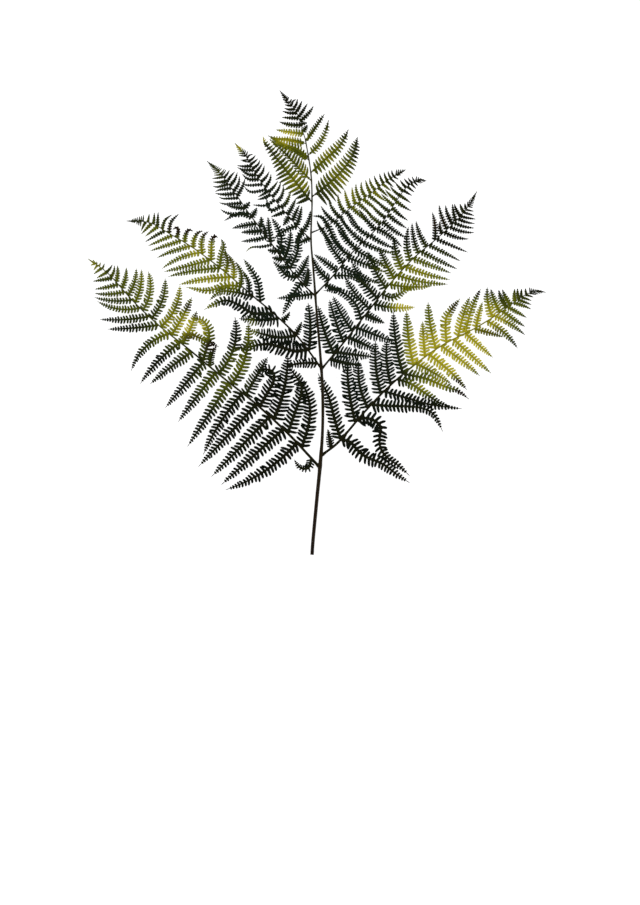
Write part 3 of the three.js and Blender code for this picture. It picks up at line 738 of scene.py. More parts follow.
# %% The end of the frond
FROND_END = [
    dict(
        name="frond_tip",
        costa=[
            (-9.5, 406.5), (-12, 415.5), (-14.5, 423), (-17, 430), (-22, 436), (-27, 442),
            (-33.5, 450.5),
        ],
        lower=dict(
            bend=-0.03,
            at={0: 0, 1: 0.176, 2: 0.319, 3: 0.43, 4: 0.521, 5: 0.612, 6: 0.68, 7: 0.742},
            widths={0: 3.6, 1: 3.2, 2: 2.2, 3: 2, 4: 1.6, 5: 1.2, 6: 1.1, 7: 1.1},
            ends=[
                (-37.5, 410.5), (-34, 418.5), (-31.5, 423), (-31, 429.5), (-29, 432.5),
                (-28.5, 436), (-29, 438.5), (-30.5, 441.5),
            ],
            via={
                0: [(-23, 408)],
                1: [(-23, 415.5)],
                3: [(-24, 427.5)],
                4: [(-24, 431)],
            },
        ),
        upper=dict(
            bend=-0.06,
            at={
                0: 0.039, 1: 0.204, 2: 0.256, 3: 0.344, 4: 0.46, 5: 0.547, 6: 0.624, 7: 0.686,
                8: 0.762,
            },
            widths={0: 3.5, 1: 4.1, 2: 2.6, 3: 2, 4: 1.8, 5: 1.4, 6: 1.1, 7: 0.9, 8: 0.9},
            ends=[
                (-5.5, 415.5), (-6, 418), (0.5, 435), (-5.5, 437.5), (-11, 440), (-15.5, 442),
                (-17, 441.5), (-21.5, 442), (-24.5, 444),
            ],
            via={
                2: [(-8, 423.5), (-3, 429)],
                3: [(-10, 430)],
                4: [(-13.5, 434)],
                5: [(-16.5, 437)],
                6: [(-20, 439.5)],
            },
        ),
    ),
]
PINNAE = LEFT_PINNAE + RIGHT_PINNAE + FROND_END
print("pinnae:", len(PINNAE))

# %% [markdown]
# ## How the frond lies
# A cut frond arches: its foot, its outer tips and its end touch the table, and the middle stands
# about two centimetres up. The solid model uses one smooth dome for that, and so does this one, so
# that each fine piece lies where its solid lies. Pinnules on the upper side of a pinna dip below
# the pinna above, and those on the lower side rise a little.

# %% The lie of the frond
DOME_CENTRE = (2, 250)
DOME_HALF_WIDTH = 232
DOME_TO_FOOT = 190
DOME_TO_TIP = 205
DOME_HEIGHT = 22
DOME_POWER = 1.5
ROW_SLOPE = {"upper": -0.08, "lower": 0.04}
TABLE_CLEARANCE = 0.03


def dome_height(places):
    """Height of the frond's underside over the table at places in plan."""
    across = (places[..., 0] - DOME_CENTRE[0]) / DOME_HALF_WIDTH
    along = places[..., 1] - DOME_CENTRE[1]
    share = along / np.where(along < 0, DOME_TO_FOOT, DOME_TO_TIP)
    return DOME_HEIGHT * np.maximum(0, 1 - across ** 2 - share ** 2) ** DOME_POWER


print("height under the rachis mm:", float(dome_height(np.array(DOME_CENTRE))))

# %% [markdown]
# ## Lines in plan
# Stalk, costae and pinnule ribs are all smooth lines that get read by share of their length. A
# Blender curve could do it, but here every vertex is placed by array arithmetic, so a small class
# that holds dense points and interpolates between them is quicker and easier to follow.


# %% Smooth lines
class PlanLine:
    """A line of dense points, read by the share of its length."""

    def __init__(self, points):
        self.points = np.asarray(points, float)
        steps = np.linalg.norm(np.diff(self.points[:, :2], axis=0), axis=1)
        self.run = np.concatenate([[0], np.cumsum(steps)])
        self.length = self.run[-1]

    def at(self, share):
        run = np.asarray(share, float) * self.length
        return np.stack([np.interp(run, self.run, column) for column in self.points.T], axis=-1)

    def heading(self, share):
        step = 0.01
        share = np.asarray(share, float)
        ahead = self.at(np.minimum(share + step, 1)) - self.at(np.maximum(share - step, 0))
        return unit(ahead[..., :2])


def unit(vectors):
    """Vectors brought to length one."""
    return vectors / np.maximum(np.linalg.norm(vectors, axis=-1, keepdims=True), 1e-9)


def left_of(headings):
    """The direction to the left of each heading in plan."""
    return np.stack([-headings[..., 1], headings[..., 0]], axis=-1)


SPAN_POINTS = 24
ARC_POINTS = 60


def smooth_line(places):
    """A smooth line through all the places."""
    knots = np.array(places, float)
    knots = np.vstack([2 * knots[0] - knots[1], knots, 2 * knots[-1] - knots[-2]])
    points = []
    for index in range(len(places) - 1):
        before, start, stop, after = knots[index:index + 4]
        t = np.linspace(0, 1, SPAN_POINTS, endpoint=False)[:, None]
        bend = 2 * before - 5 * start + 4 * stop - after
        twist = 3 * start - before - 3 * stop + after
        points.append(0.5 * (2 * start + (stop - before) * t + bend * t ** 2 + twist * t ** 3))
    return PlanLine(np.vstack(points + [knots[-2:-1]]))


def arc_line(base, forward, end, bend):
    """An arc from base to end that bends by a share of its length toward the forward direction."""
    base, end = np.array(base, float), np.array(end, float)
    chord = end - base
    sideways = unit(left_of(chord))
    if sideways @ forward < 0:
        sideways = -sideways
    middle = base + chord / 2 + sideways * 2 * bend * np.linalg.norm(chord)
    t = np.linspace(0, 1, ARC_POINTS)[:, None]
    return PlanLine((1 - t) ** 2 * base + 2 * t * (1 - t) * middle + t ** 2 * end)


stalk_line = smooth_line(STALK_STATIONS)
print("stalk length mm:", round(stalk_line.length))

# %% [markdown]
# ## From plan to pinnules
# The rows are spread along the costa and each pinnule gets its midline and the room it has beside
# its neighbours. That room limits how wide it may grow, so that the crowded outer pinnules are
# narrow and the free inner ones are broad, as on the plant. Where a pinna runs out, its pinnules
# are too small to place one by one, so a tail of ever shorter and closer ones fills the tip. The
# small pinnae near the frond's tip are combs of close, undivided teeth: their ends only give the
# outline, and a set number of teeth is spread under it.

# %% Where the pinnules of a row stand and end
# How many teeth a row of each comb has.
COMB_TEETH = {
    "right_pinna_5": 20, "right_pinna_6": 16, "right_pinna_7": 13, "right_pinna_8": 11,
    "left_pinna_5": 20, "left_pinna_6": 16, "left_pinna_between": 14, "left_pinna_7": 13,
}
LAST_TOOTH_SHARE = 0.97
TAIL_FROM_MM = 5
TAIL_PITCH_LEAST = 1.1
TAIL_PITCH_PER_LENGTH = 0.15
TAIL_LEAST_LEAN = 0.4


def fill_tail(costa, shares, ends, kept, tip):
    """Keep the first pinnules of a row and run the rest out to the tip, closer and closer."""
    known_shares, known_ends = np.append(shares, 1), np.vstack([ends, tip])
    tail, share = [], shares[kept - 1]
    while share < LAST_TOOTH_SHARE:
        end = [np.interp(share, known_shares, column) for column in known_ends.T]
        away = end - costa.at(share)
        length = np.linalg.norm(away)
        lean = max(TAIL_LEAST_LEAN, abs(left_of(costa.heading(share)) @ away) / length)
        share += (TAIL_PITCH_LEAST + TAIL_PITCH_PER_LENGTH * length) / lean / costa.length
        tail.append(share)
    tail_ends = np.column_stack([np.interp(tail, known_shares, column) for column in known_ends.T])
    return np.concatenate([shares[:kept], tail]), np.vstack([ends[:kept], tail_ends])


def row_places(spec, row, costa):
    """Shares of the costa at which the pinnules of a row stand, and the places where they end."""
    teeth = COMB_TEETH.get(spec["name"])
    tip = spec["costa"][-1]
    steps = np.linspace(0, 1, teeth or len(row["ends"]))
    own_places = row.get("at", {})
    first = row.get("first", own_places.get(0))
    last = LAST_TOOTH_SHARE if teeth else row.get("last", own_places.get(len(steps) - 1))
    shares = first + (last - first) * (1 - (1 - steps) ** row.get("crowding", 1))
    for index, share in own_places.items():
        shares[index] = share
    if teeth:
        outline = smooth_line([*row["ends"], tip])
        return shares, outline.at((shares - first) / (1 - first))
    ends = np.array(row["ends"], float)
    kept = len(ends)
    if kept - 1 not in own_places:
        reach = np.linalg.norm(ends - costa.at(shares), axis=1)
        kept = np.nonzero(reach > TAIL_FROM_MM)[0][-1] + 1
    return fill_tail(costa, shares, ends, kept, tip)


print("combs:", len(COMB_TEETH), "with teeth in a row:", sorted(COMB_TEETH.values()))

# %% Midlines of a row
ROW_BEND = {"upper": -0.06, "lower": 0}
BEND_SPREAD = 0.022
EXTRA_WIDTH = 4.2


def row_midlines(spec, row_name, costa):
    """The pinnules of one row in order from the rachis, each with its midline."""
    row = spec[row_name]
    via, bends, widths = (row.get(name, {}) for name in ("via", "bends", "widths"))
    row_bend = row.get("bend", ROW_BEND[row_name])
    pinnules = [
        dict(
            at=share, end=tuple(end), via=via.get(index), width=widths.get(index),
            bend=bends.get(index, row_bend + draw.normal(0, BEND_SPREAD)),
        )
        for index, (share, end) in enumerate(zip(*row_places(spec, row, costa)))
    ]
    extra = spec.get("axil" if row_name == "upper" else "basal")
    if extra:
        pinnules.insert(0, dict(extra, bend=0, via=extra.get("via"), width=EXTRA_WIDTH))
    for pinnule in pinnules:
        base = costa.at(pinnule["at"])
        if pinnule["via"]:
            pinnule["midline"] = smooth_line([tuple(base), *pinnule["via"], pinnule["end"]])
        else:
            forward = costa.heading(pinnule["at"])
            pinnule["midline"] = arc_line(base, forward, pinnule["end"], pinnule["bend"])
    return pinnules


print("bend of a row:", ROW_BEND, "give or take", BEND_SPREAD)

# %% Half widths of a row, in millimetres or as shares of room and length
ROOM_AT_SHARE = 0.3
WIDTH_FACTOR = 0.0165
WIDTH_POWER = 1.475
WIDTH_FADE_MM = (7, 18, 60)
WIDTH_PER_ROOM = (0.4, 0.59, 0.7)
WIDTH_LEAST = 0.5
WIDTH_LEAST_PER_LENGTH = 0.1
WIDTH_MOST_PER_LENGTH = 0.25
HAND_WIDTH_MOST_PER_LENGTH = 0.38
COMB_WIDTH_PER_ROOM = 0.41


def room_beside(pinnule, other):
    """Distance from one pinnule's midline to another's, square to the first, near their bases."""
    midline = pinnule["midline"]
    apart = other["midline"].at(ROOM_AT_SHARE) - midline.at(ROOM_AT_SHARE)
    return abs(left_of(midline.heading(ROOM_AT_SHARE)) @ apart)


def row_pinnules(spec, row_name, costa):
    """The pinnules of one row, each with its midline and its half width."""
    pinnules = row_midlines(spec, row_name, costa)
    for index, pinnule in enumerate(pinnules):
        beside = pinnules[max(index - 1, 0):index] + pinnules[index + 1:index + 2]
        room = min(room_beside(pinnule, other) for other in beside)
        length = pinnule["midline"].length
        pinnule["by_hand"] = pinnule["width"] is not None
        if spec["name"] in COMB_TEETH:
            width = COMB_WIDTH_PER_ROOM * room
        elif pinnule["by_hand"]:
            width = pinnule["width"]
        else:
            least = WIDTH_LEAST + WIDTH_LEAST_PER_LENGTH * length
            grown = max(WIDTH_FACTOR * length ** WIDTH_POWER, least)
            width = min(grown, room * np.interp(length, WIDTH_FADE_MM, WIDTH_PER_ROOM))
        most = HAND_WIDTH_MOST_PER_LENGTH if pinnule["by_hand"] else WIDTH_MOST_PER_LENGTH
        pinnule["width"] = min(width, most * length)
    return pinnules


print("half width that a free 60 mm pinnule grows to:", round(WIDTH_FACTOR * 60 ** WIDTH_POWER, 1))

# %% [markdown]
# ## Mesh parts
# A piece here is many closed skins in one mesh: the costa, and each pinnule with all its lobes as
# one skin. They are collected as arrays of points, faces and point values, and go into a Blender
# mesh in one step, which is far quicker than adding a hundred thousand faces one by one.


# %% A collector of skins
# One of these values is a bluish green for painted deep shade on the inner leaf.
# The rib value carries the brown of the ribs and also painted shade at the roots of the lobes.
POINT_VALUES = ("yellowing", "painted_shade", "brown", "vein", "rib", "under", "shade")


class Skins:
    """Points, faces and point values of many skins that become one mesh."""

    def __init__(self):
        self.points, self.quads, self.triangles, self.values = [], [], [], []
        self.count = 0

    def add(self, points, quads, triangles, values):
        self.points.append(points)
        self.quads.append(np.asarray(quads, int).reshape(-1, 4) + self.count)
        self.triangles.append(np.asarray(triangles, int).reshape(-1, 3) + self.count)
        self.values.append(values)
        self.count += len(points)

    def to_object(self, name, materials):
        """One object in the frame, in metres, with its point values as attributes."""
        points = np.vstack(self.points)
        points = (points - np.array([*FRAME_ORIGIN, 0])) * MM
        quads, triangles = np.vstack(self.quads), np.vstack(self.triangles)
        mesh = bpy.data.meshes.new(name)
        mesh.vertices.add(len(points))
        mesh.vertices.foreach_set("co", points.ravel())
        mesh.loops.add(quads.size + triangles.size)
        mesh.loops.foreach_set("vertex_index", np.concatenate([quads.ravel(), triangles.ravel()]))
        sizes = np.concatenate([np.full(len(quads), 4), np.full(len(triangles), 3)])
        mesh.polygons.add(len(sizes))
        mesh.polygons.foreach_set("loop_start", np.cumsum(sizes) - sizes)
        mesh.polygons.foreach_set("use_smooth", np.ones(len(sizes), bool))
        mesh.update(calc_edges=True)
        for value_name in POINT_VALUES:
            column = np.concatenate([values[value_name] for values in self.values])
            mesh.attributes.new(value_name, "FLOAT", "POINT").data.foreach_set("value", column)
        for material in materials:
            mesh.materials.append(material)
        made = bpy.data.objects.new(name, mesh)
        scene.collection.objects.link(made)
        return made


print("values at each point:", POINT_VALUES)

# %% [markdown]
# ## Where the frond has turned
# This frond is going over: most of it is still blackish green, and patches of it, mainly where the
# sun reached the outer pinnules, have turned olive and yellow. Painting would need an image, so
# the patches are soft ovals in plan (centre, half sizes, strength) summed into one number at each
# point. A small draw per pinnule and per lobe breaks the ovals' edges into separate leaflets.

# %% Yellowing
PATCH_FALL = 0.7
PATCH_EDGE_POWER = 1.5
YELLOW_PATCHES = [
    (150, 202, 46, 42, 0.93), (132, 178, 36, 20, 0.45), (100, 200, 12, 34, 0.35),
    (117, 152, 24, 8, 0.5), (200, 230, 30, 20, 0.42), (99, 265, 38, 26, 0.66), (90, 233, 14, 6, 0.7),
    (59, 344, 36, 22, 0.5), (25, 368, 24, 32, 0.42), (19, 388, 22, 24, 0.32), (8, 412, 16, 18, 0.3),
    (-21, 380, 24, 26, 0.5), (-15, 350, 14, 18, 0.4), (-30, 402, 18, 9, 0.5), (-51, 402, 5, 5, 0.85),
    (-75, 393, 6, 7, 0.95), (-100, 372, 14, 12, 0.3), (-98, 352, 16, 16, 0.25),
    (-132, 280, 38, 34, 0.4), (-101, 278, 24, 30, 0.32), (-101, 250, 24, 14, 0.4),
    (-165, 312, 26, 18, 0.3), (-62, 210, 8, 14, 0.55), (-70, 184, 16, 16, 0.35),
    (-115, 212, 18, 18, 0.62), (-140, 230, 22, 30, 0.45), (-155, 205, 40, 22, 0.3),
    (-193, 255, 40, 34, 0.44), (-95, 160, 30, 26, 0.4), (-222, 276, 12, 12, 0.5),
    (-28, 412, 14, 12, 0.25), (-112, 297, 30, 14, 0.2), (-75, 265, 14, 18, 0.45),
    (-64, 290, 9, 6, 0.5), (-104, 232, 12, 6, 0.5),
]
# Painted shade: the inner leaf round the rachis is given a colder, bluish green that stands for deep
# shade.
PAINTED_SHADE_PATCHES = [
    (-20, 280, 70, 60, 1.0), (40, 270, 60, 50, 0.8), (-90, 330, 60, 60, 0.5),
    (60, 190, 44, 50, 0.8),
]
# Scorched ends, brown and curled.
BROWN_PATCHES = [
    (-137, 311, 7, 6, 1.0), (-121, 310, 8, 5, 1.0), (-101, 305, 11, 6, 0.9), (-81, 284, 9, 15, 0.5),
    (-126, 234, 11, 5, 0.6), (-116, 228, 7, 7, 0.6), (-121, 203, 10, 5, 0.6), (-100, 194, 9, 6, 0.8),
    (177, 207, 15, 5, 0.5), (142, 233, 7, 9, 0.7), (168, 249, 5, 7, 0.9), (143, 157, 6, 4, 1.0),
    (150, 146, 9, 5, 1.0), (155, 151, 4, 6, 1.0), (118, 314, 6, 8, 0.6), (127, 318, 8, 6, 0.6),
]


def patch_value(places, patches):
    """Sum of soft ovals at places in plan."""
    total = np.zeros(places.shape[:-1])
    for x, y, half_x, half_y, strength in patches:
        away = ((places[..., 0] - x) / half_x) ** 2 + ((places[..., 1] - y) / half_y) ** 2
        total += strength * np.exp(-PATCH_FALL * away ** PATCH_EDGE_POWER)
    return total


print("yellow patches:", len(YELLOW_PATCHES), "cold:", len(PAINTED_SHADE_PATCHES), "brown:", len(BROWN_PATCHES))

# %% [markdown]
# ## A pinnule
# On the plant a pinnule is one thin blade, cut nearly to its rib into blunt tongues whose edges
# roll under and whose mid veins sink in above and stand out below. Cutting an outline with
# booleans gives flat blades with poor faces. Instead each pinnule is one closed skin on a grid:
# a rib strip down the middle, and on both sides a small grid of rows and columns for every lobe.
# Neighbouring lobes share the point at the notch between them, so the blade is in one piece.

# %% Sizes of pinnules and lobes, in millimetres or as shares
WIDTH_TAPER_POWER = {"upper": 4.2, "lower": 3.0, "end": 1.3}
BASE_FLARE = 0.12
BASE_FLARE_SHARE = 0.08
PITCH_PER_LENGTH = 0.021
PITCH_LEAST = 1.9
LOBE_CROWDING = 1.15
LOBE_FILL_LONG = 0.65
LOBE_FILL_SHORT = 0.64
LOBE_FILL_FADE_MM = (15, 50)
LOBE_LEAST = 0.15
LOBE_LEAN_DEG = 76
LOBE_FORWARD_CURVE = 0.09
LOBE_BELLY = 0.12
LOBE_BLUNT_POWER = 5
NOTCH_ROUNDING = 0.07
LOBE_RISE = 0.16
LOBE_DROOP = 0.26
EDGE_ROLL = 0.3
LOBE_END_DIP = 0.1
BLADE_HALF_THICKNESS = 0.15
# The mid vein of a lobe: how thin the groove leaves the blade above, how thick the ridge is below.
VEIN_GROOVE = 0.35
VEIN_RIDGE = 1.5
UNDERSIDE = 0.8
RIB_HALF_WIDTH = {"base": 0.5, "tip": 0.22}
RIB_LEAST_SHARE = 0.35
RIB_FULL_FROM_MM = 60
RIB_THICKNESS_SHARE = 0.5
RIB_GROOVE = 0.35
TERMINAL_SHARE = 0.06
# The last stations, in the uncut end: shares of it that are left, and their width.
END_STATIONS = np.array([0.66, 0.33, 0.12])
END_WIDTHS = np.array([1.1, 0.95, 0.6])
# The grid of a lobe longer than the first number: rows along it and columns across it, as shares.
LOBE_GRIDS = [
    (2.6, [0.12, 0.32, 0.56, 0.78, 0.94], [-1, -0.5, 0, 0.5, 1]),
    (1.2, [0.2, 0.55, 0.88], [-1, -0.5, 0, 0.5, 1]),
    (0.0, [0.35, 0.8], [-1, 0, 1]),
]
# How strongly the colours of vein and rib show: on the rib, on the rim beside it, at the ends.
ON_RIB = (0.6, 1)
ON_RIM = (0.2, 0.3)
AT_LOBE_END = (0.3, 0)
AT_PINNULE_END = (0.3, 0.2)
VEIN_FADE = 0.5
# Painted shade at the root of each lobe: its rib value there, which darkens it toward the rib's brown.
PAINTED_SHADE_AT_LOBE_ROOT = 0.5
# How much pinnules and lobes differ from each other.
SPREAD = dict(twist=0.1, yellow=0.06, shade=0.25, reach=0.1, lean_deg=6, tilt=0.07)


def lobe_grid(lobe_length):
    """Rows along and columns across a lobe: finer on the larger lobes."""
    for least, rows, columns in LOBE_GRIDS:
        if lobe_length > least:
            break
    return np.array(rows), np.array(columns)


print("lobe pitch on a 100 mm pinnule:", PITCH_PER_LENGTH * 100 + PITCH_LEAST)


# %% The stations of a pinnule
class Blade:
    """One pinnule while it is put together: the stations along its rib, and its points so far."""

    def __init__(self, midline, width, base_share, slope, wing, taper_power):
        self.length = midline.length
        lobed_share = 1 - base_share - TERMINAL_SHARE
        pitch = PITCH_PER_LENGTH * self.length + PITCH_LEAST
        self.lobes = max(2, round(self.length * lobed_share / pitch))
        self.rows, self.columns = lobe_grid(width * (1 - wing))
        self.steps = len(self.columns) - 1
        cells = self.lobes * self.steps

        spread = 1 - (1 - np.linspace(0, 1, cells + 1)) ** LOBE_CROWDING
        lobed = base_share + lobed_share * spread
        self.shares = np.concatenate([lobed, 1 - TERMINAL_SHARE * END_STATIONS])
        self.is_notch = np.ones(len(self.shares), bool)
        self.is_notch[:cells] = np.arange(cells) % self.steps == 0
        self.centres, self.headings = midline.at(self.shares), midline.heading(self.shares)
        self.sides = left_of(self.headings)
        self.rise = slope * self.shares * self.length

        taper = 1 - self.shares ** taper_power
        flare = 1 + BASE_FLARE - BASE_FLARE * np.minimum(1, self.shares / BASE_FLARE_SHARE)
        half_width = width * taper * flare
        rib_taper = RIB_HALF_WIDTH["tip"] - RIB_HALF_WIDTH["base"]
        rib_half = RIB_HALF_WIDTH["base"] + rib_taper * self.shares
        self.rib_half = rib_half * min(1, RIB_LEAST_SHARE + self.length / RIB_FULL_FROM_MM)
        self.reach = half_width - wing * half_width
        self.edge = self.rib_half + wing * half_width
        self.edge[-3:] = self.edge[-4] * END_WIDTHS

        self.twist = draw.normal(0, SPREAD["twist"])
        self.yellow = draw.normal(0, SPREAD["yellow"])
        self.shade = draw.uniform(0, 1)
        self.count = 0
        self.plan = []
        self.stores = {
            name: [] for name in ("rise", "half_thickness", "face", "vein", "rib", "shade")
        }

    def put(self, places, *values):
        """Add points with their values, in the order of the stores, and give back their numbers.

        The value for face is 1 on the upper side of the blade and -1 on the lower side.
        """
        shape = places.shape[:-1]
        numbers = self.count + np.arange(math.prod(shape)).reshape(shape)
        self.plan.append(places.reshape(-1, 2))
        for store, value in zip(self.stores.values(), values):
            store.append(np.broadcast_to(value, shape).ravel())
        self.count += numbers.size
        return numbers


print("half width of a pinnule's rib mm:", RIB_HALF_WIDTH)


# %% The lobes on one side of a pinnule
def put_lobes(blade, sign, rim):
    """Put the lobes of one side: the numbers of their upper and lower grids and of their tips."""
    lobes, steps = blade.lobes, blade.steps
    mids = np.arange(lobes) * steps + steps // 2
    mid_heading, mid_side = blade.headings[mids], sign * blade.sides[mids]
    shade = np.clip(blade.shade + draw.normal(0, SPREAD["shade"], lobes), 0, 1)
    reach = np.maximum(blade.reach[mids] * draw.normal(1, SPREAD["reach"], lobes), LOBE_LEAST)
    lean = np.radians(LOBE_LEAN_DEG + draw.normal(0, SPREAD["lean_deg"], lobes))
    climb = LOBE_RISE + draw.normal(0, SPREAD["tilt"], lobes) + sign * blade.twist
    outward = mid_side * np.sin(lean)[:, None] + mid_heading * np.cos(lean)[:, None]
    across = unit(mid_heading - outward * np.sum(mid_heading * outward, axis=1)[:, None])
    pitches = (blade.shares[mids + steps // 2] - blade.shares[mids - steps // 2]) * blade.length
    fill = np.interp(blade.length, LOBE_FILL_FADE_MM, (LOBE_FILL_SHORT, LOBE_FILL_LONG))
    tongue = pitches / 2 * fill
    roots = rim[mids]
    root_rise = blade.rise[mids] + sign * blade.twist * blade.edge[mids]

    # s runs from the root of a lobe to its end, w across it from one edge to the other.
    s = blade.rows[None, :, None]
    w = blade.columns[None, None, :]
    along = s[..., None]
    blunt = (1 - s ** LOBE_BLUNT_POWER) ** 0.5
    notch = (pitches / 2 - tongue)[:, None, None] * np.exp(-s / NOTCH_ROUNDING)
    half = tongue[:, None, None] * blunt * (1 + LOBE_BELLY * np.sin(np.pi * s)) + notch
    edgeward = unit(mid_heading[:, None, None] * (1 - along) + across[:, None, None] * along)
    out = reach[:, None, None, None]
    places = roots[:, None, None] + outward[:, None, None] * out * along
    places = places + mid_heading[:, None, None] * LOBE_FORWARD_CURVE * out * along ** 2
    places = places + edgeward * (half * w)[..., None]
    fold = reach[:, None, None] * (climb[:, None, None] * s - LOBE_DROOP * s ** 2)
    rise = root_rise[:, None, None] + fold - EDGE_ROLL * half * w ** 2

    on_vein = w == 0
    over = BLADE_HALF_THICKNESS * np.where(on_vein, VEIN_GROOVE, 1.0)
    over = np.where(np.abs(w) == 1, 0, over)
    below = BLADE_HALF_THICKNESS * np.where(on_vein, VEIN_RIDGE, UNDERSIDE)
    vein = np.where(on_vein, 1 - VEIN_FADE * s, 0.0)
    # Painted shade: the rib value darkens the root of each lobe and fades out toward its end.
    rib = PAINTED_SHADE_AT_LOBE_ROOT * (1 - s) ** 2
    top = blade.put(places, rise, over, 1, vein, rib, shade[:, None, None])
    inner = slice(1, -1)
    low = top.copy()
    low[..., inner] = blade.put(
        places[:, :, inner], rise[..., inner], below[..., inner], -1,
        vein[..., inner], rib, shade[:, None, None],
    )
    end_places = roots + (outward + mid_heading * LOBE_FORWARD_CURVE) * reach[:, None]
    end_rise = root_rise + reach * (climb - LOBE_DROOP) - LOBE_END_DIP * tongue
    tips = blade.put(end_places, end_rise, 0, 1, *AT_LOBE_END, shade)
    return top, low, tips


print("lobes lean forward by degrees:", 90 - LOBE_LEAN_DEG)


# %% One side of a pinnule: rim, lobes and faces
def facing(corners, flip):
    """Faces from arrays of corner numbers, turned over where flip says so."""
    return np.stack(corners[::-1] if flip else corners, axis=-1).reshape(-1, len(corners))


def put_side(blade, sign, top_mid, low_mid):
    """Put one side of a pinnule: the numbers of its upper rim, its quads and its triangles."""
    rim = blade.centres + sign * blade.sides * blade.edge[:, None]
    rim_rise = blade.rise + sign * blade.twist * blade.edge
    free = ~blade.is_notch
    over = np.where(free, BLADE_HALF_THICKNESS, 0)
    top_rim = blade.put(rim, rim_rise, over, 1, *ON_RIM, blade.shade)
    low_rim = top_rim.copy()
    low_rim[free] = blade.put(
        rim[free], rim_rise[free], BLADE_HALF_THICKNESS, -1, *ON_RIM, blade.shade,
    )
    top, low, tips = put_lobes(blade, sign, rim)
    rim_cells = np.arange(blade.lobes)[:, None] * blade.steps + np.arange(blade.steps + 1)
    tip_cells = np.repeat(tips[:, None], blade.steps, axis=1)
    lobe_quads, strips, caps = [], [], []
    for mid, edge, grid, flip in (
        (top_mid, top_rim, top, sign < 0), (low_mid, low_rim, low, sign > 0),
    ):
        full = np.concatenate([edge[rim_cells][:, None, :], grid], axis=1)
        cells = [full[:, :-1, :-1], full[:, :-1, 1:], full[:, 1:, 1:], full[:, 1:, :-1]]
        lobe_quads.append(facing(cells, flip))
        caps.append(facing([full[:, -1, :-1], full[:, -1, 1:], tip_cells], flip))
        strips.append(facing([mid[:-1], mid[1:], edge[1:], edge[:-1]], flip))
    return top_rim, lobe_quads + strips, caps


print("a face, and turned over:", facing(range(4), False), facing(range(4), True))


# %% One pinnule as a closed skin
def pinnule_skin(skins, midline, width, base_share, lift, slope, wing, taper_power):
    """Add one pinnule: rib strip, lobes on both sides and a blunt end.

    width is its half width over the lobes, base_share where it leaves the costa, lift the height
    of its base over the dome, slope its rise per millimetre, wing the uncut share of its width,
    and a high taper_power keeps it broad to near its end.
    """
    blade = Blade(midline, width, base_share, slope, wing, taper_power)
    rib_thickness = BLADE_HALF_THICKNESS + RIB_THICKNESS_SHARE * blade.rib_half
    rib_values = (*ON_RIB, blade.shade)
    top_mid = blade.put(blade.centres, blade.rise, RIB_GROOVE * rib_thickness, 1, *rib_values)
    low_mid = blade.put(blade.centres, blade.rise, rib_thickness, -1, *rib_values)
    left_rim, left_quads, left_caps = put_side(blade, 1, top_mid, low_mid)
    right_rim, right_quads, right_caps = put_side(blade, -1, top_mid, low_mid)
    end_place = midline.at(np.array([1.0]))
    end = blade.put(end_place, slope * blade.length, 0, 1, *AT_PINNULE_END, blade.shade)[0]
    last = (left_rim[-1], top_mid[-1], right_rim[-1], low_mid[-1])
    end_caps = [(one, other, end) for one, other in zip(last, last[1:] + last[:1])]
    base = [(left_rim[0], low_mid[0], right_rim[0], top_mid[0])]

    plan = np.vstack(blade.plan)
    stored = {name: np.concatenate(blocks) for name, blocks in blade.stores.items()}
    thick, face = stored["half_thickness"], stored["face"]
    middle = np.maximum(dome_height(plan) + lift + stored["rise"], thick + TABLE_CLEARANCE)
    values = dict(
        yellowing=np.clip(patch_value(plan, YELLOW_PATCHES) + blade.yellow, 0, 1),
        painted_shade=np.clip(patch_value(plan, PAINTED_SHADE_PATCHES), 0, 1),
        brown=np.clip(patch_value(plan, BROWN_PATCHES), 0, 1),
        vein=stored["vein"], rib=stored["rib"],
        under=(face < 0).astype(float), shade=stored["shade"],
    )
    skins.add(
        np.column_stack([plan, middle + face * thick]),
        np.vstack([*left_quads, *right_quads, base]),
        np.vstack([*left_caps, *right_caps, end_caps]),
        values,
    )
    return 2 * blade.lobes


print("uncut share at the end of a pinnule:", TERMINAL_SHARE)

# %% [markdown]
# ## Costae
# The rib of a pinna is a tapering, slightly flattened rod with a shallow channel along its upper
# side. It leaves the rachis in a smooth fork, so its first few millimetres swell toward the stalk
# and its base is buried in it. A bevelled curve would give a plain round rod, so it is a loft.

# %% Where a costa starts
# At most so far, in millimetres, is a costa carried back to meet the stalk.
ROOT_REACH = 5.0
RADIUS_SAMPLES = 801
ROOT_SAMPLES = 2000


def stalk_radius_at(place):
    """Radius of the stalk where it passes nearest to a place."""
    samples = stalk_line.at(np.linspace(0, 1, RADIUS_SAMPLES))
    nearest = np.argmin(np.linalg.norm(samples[:, :2] - place, axis=1))
    return samples[nearest, 2]


def rooted(costa):
    """The line of a costa carried straight back to the stalk's axis, where its rib starts."""
    first = costa.at(0.0)
    heading = costa.heading(0.0)
    back = first - stalk_line.at(np.linspace(0, 1, ROOT_SAMPLES))[:, :2]
    run_back = back @ heading
    beside = np.abs(back @ left_of(heading))
    beside[(run_back < 0) | (run_back > ROOT_REACH)] = np.inf
    root = first - back[np.argmin(beside)]
    return PlanLine(np.vstack([root, costa.points]))


print("stalk radius at the first fork:", round(stalk_radius_at(PINNAE[0]["costa"][0]), 2))

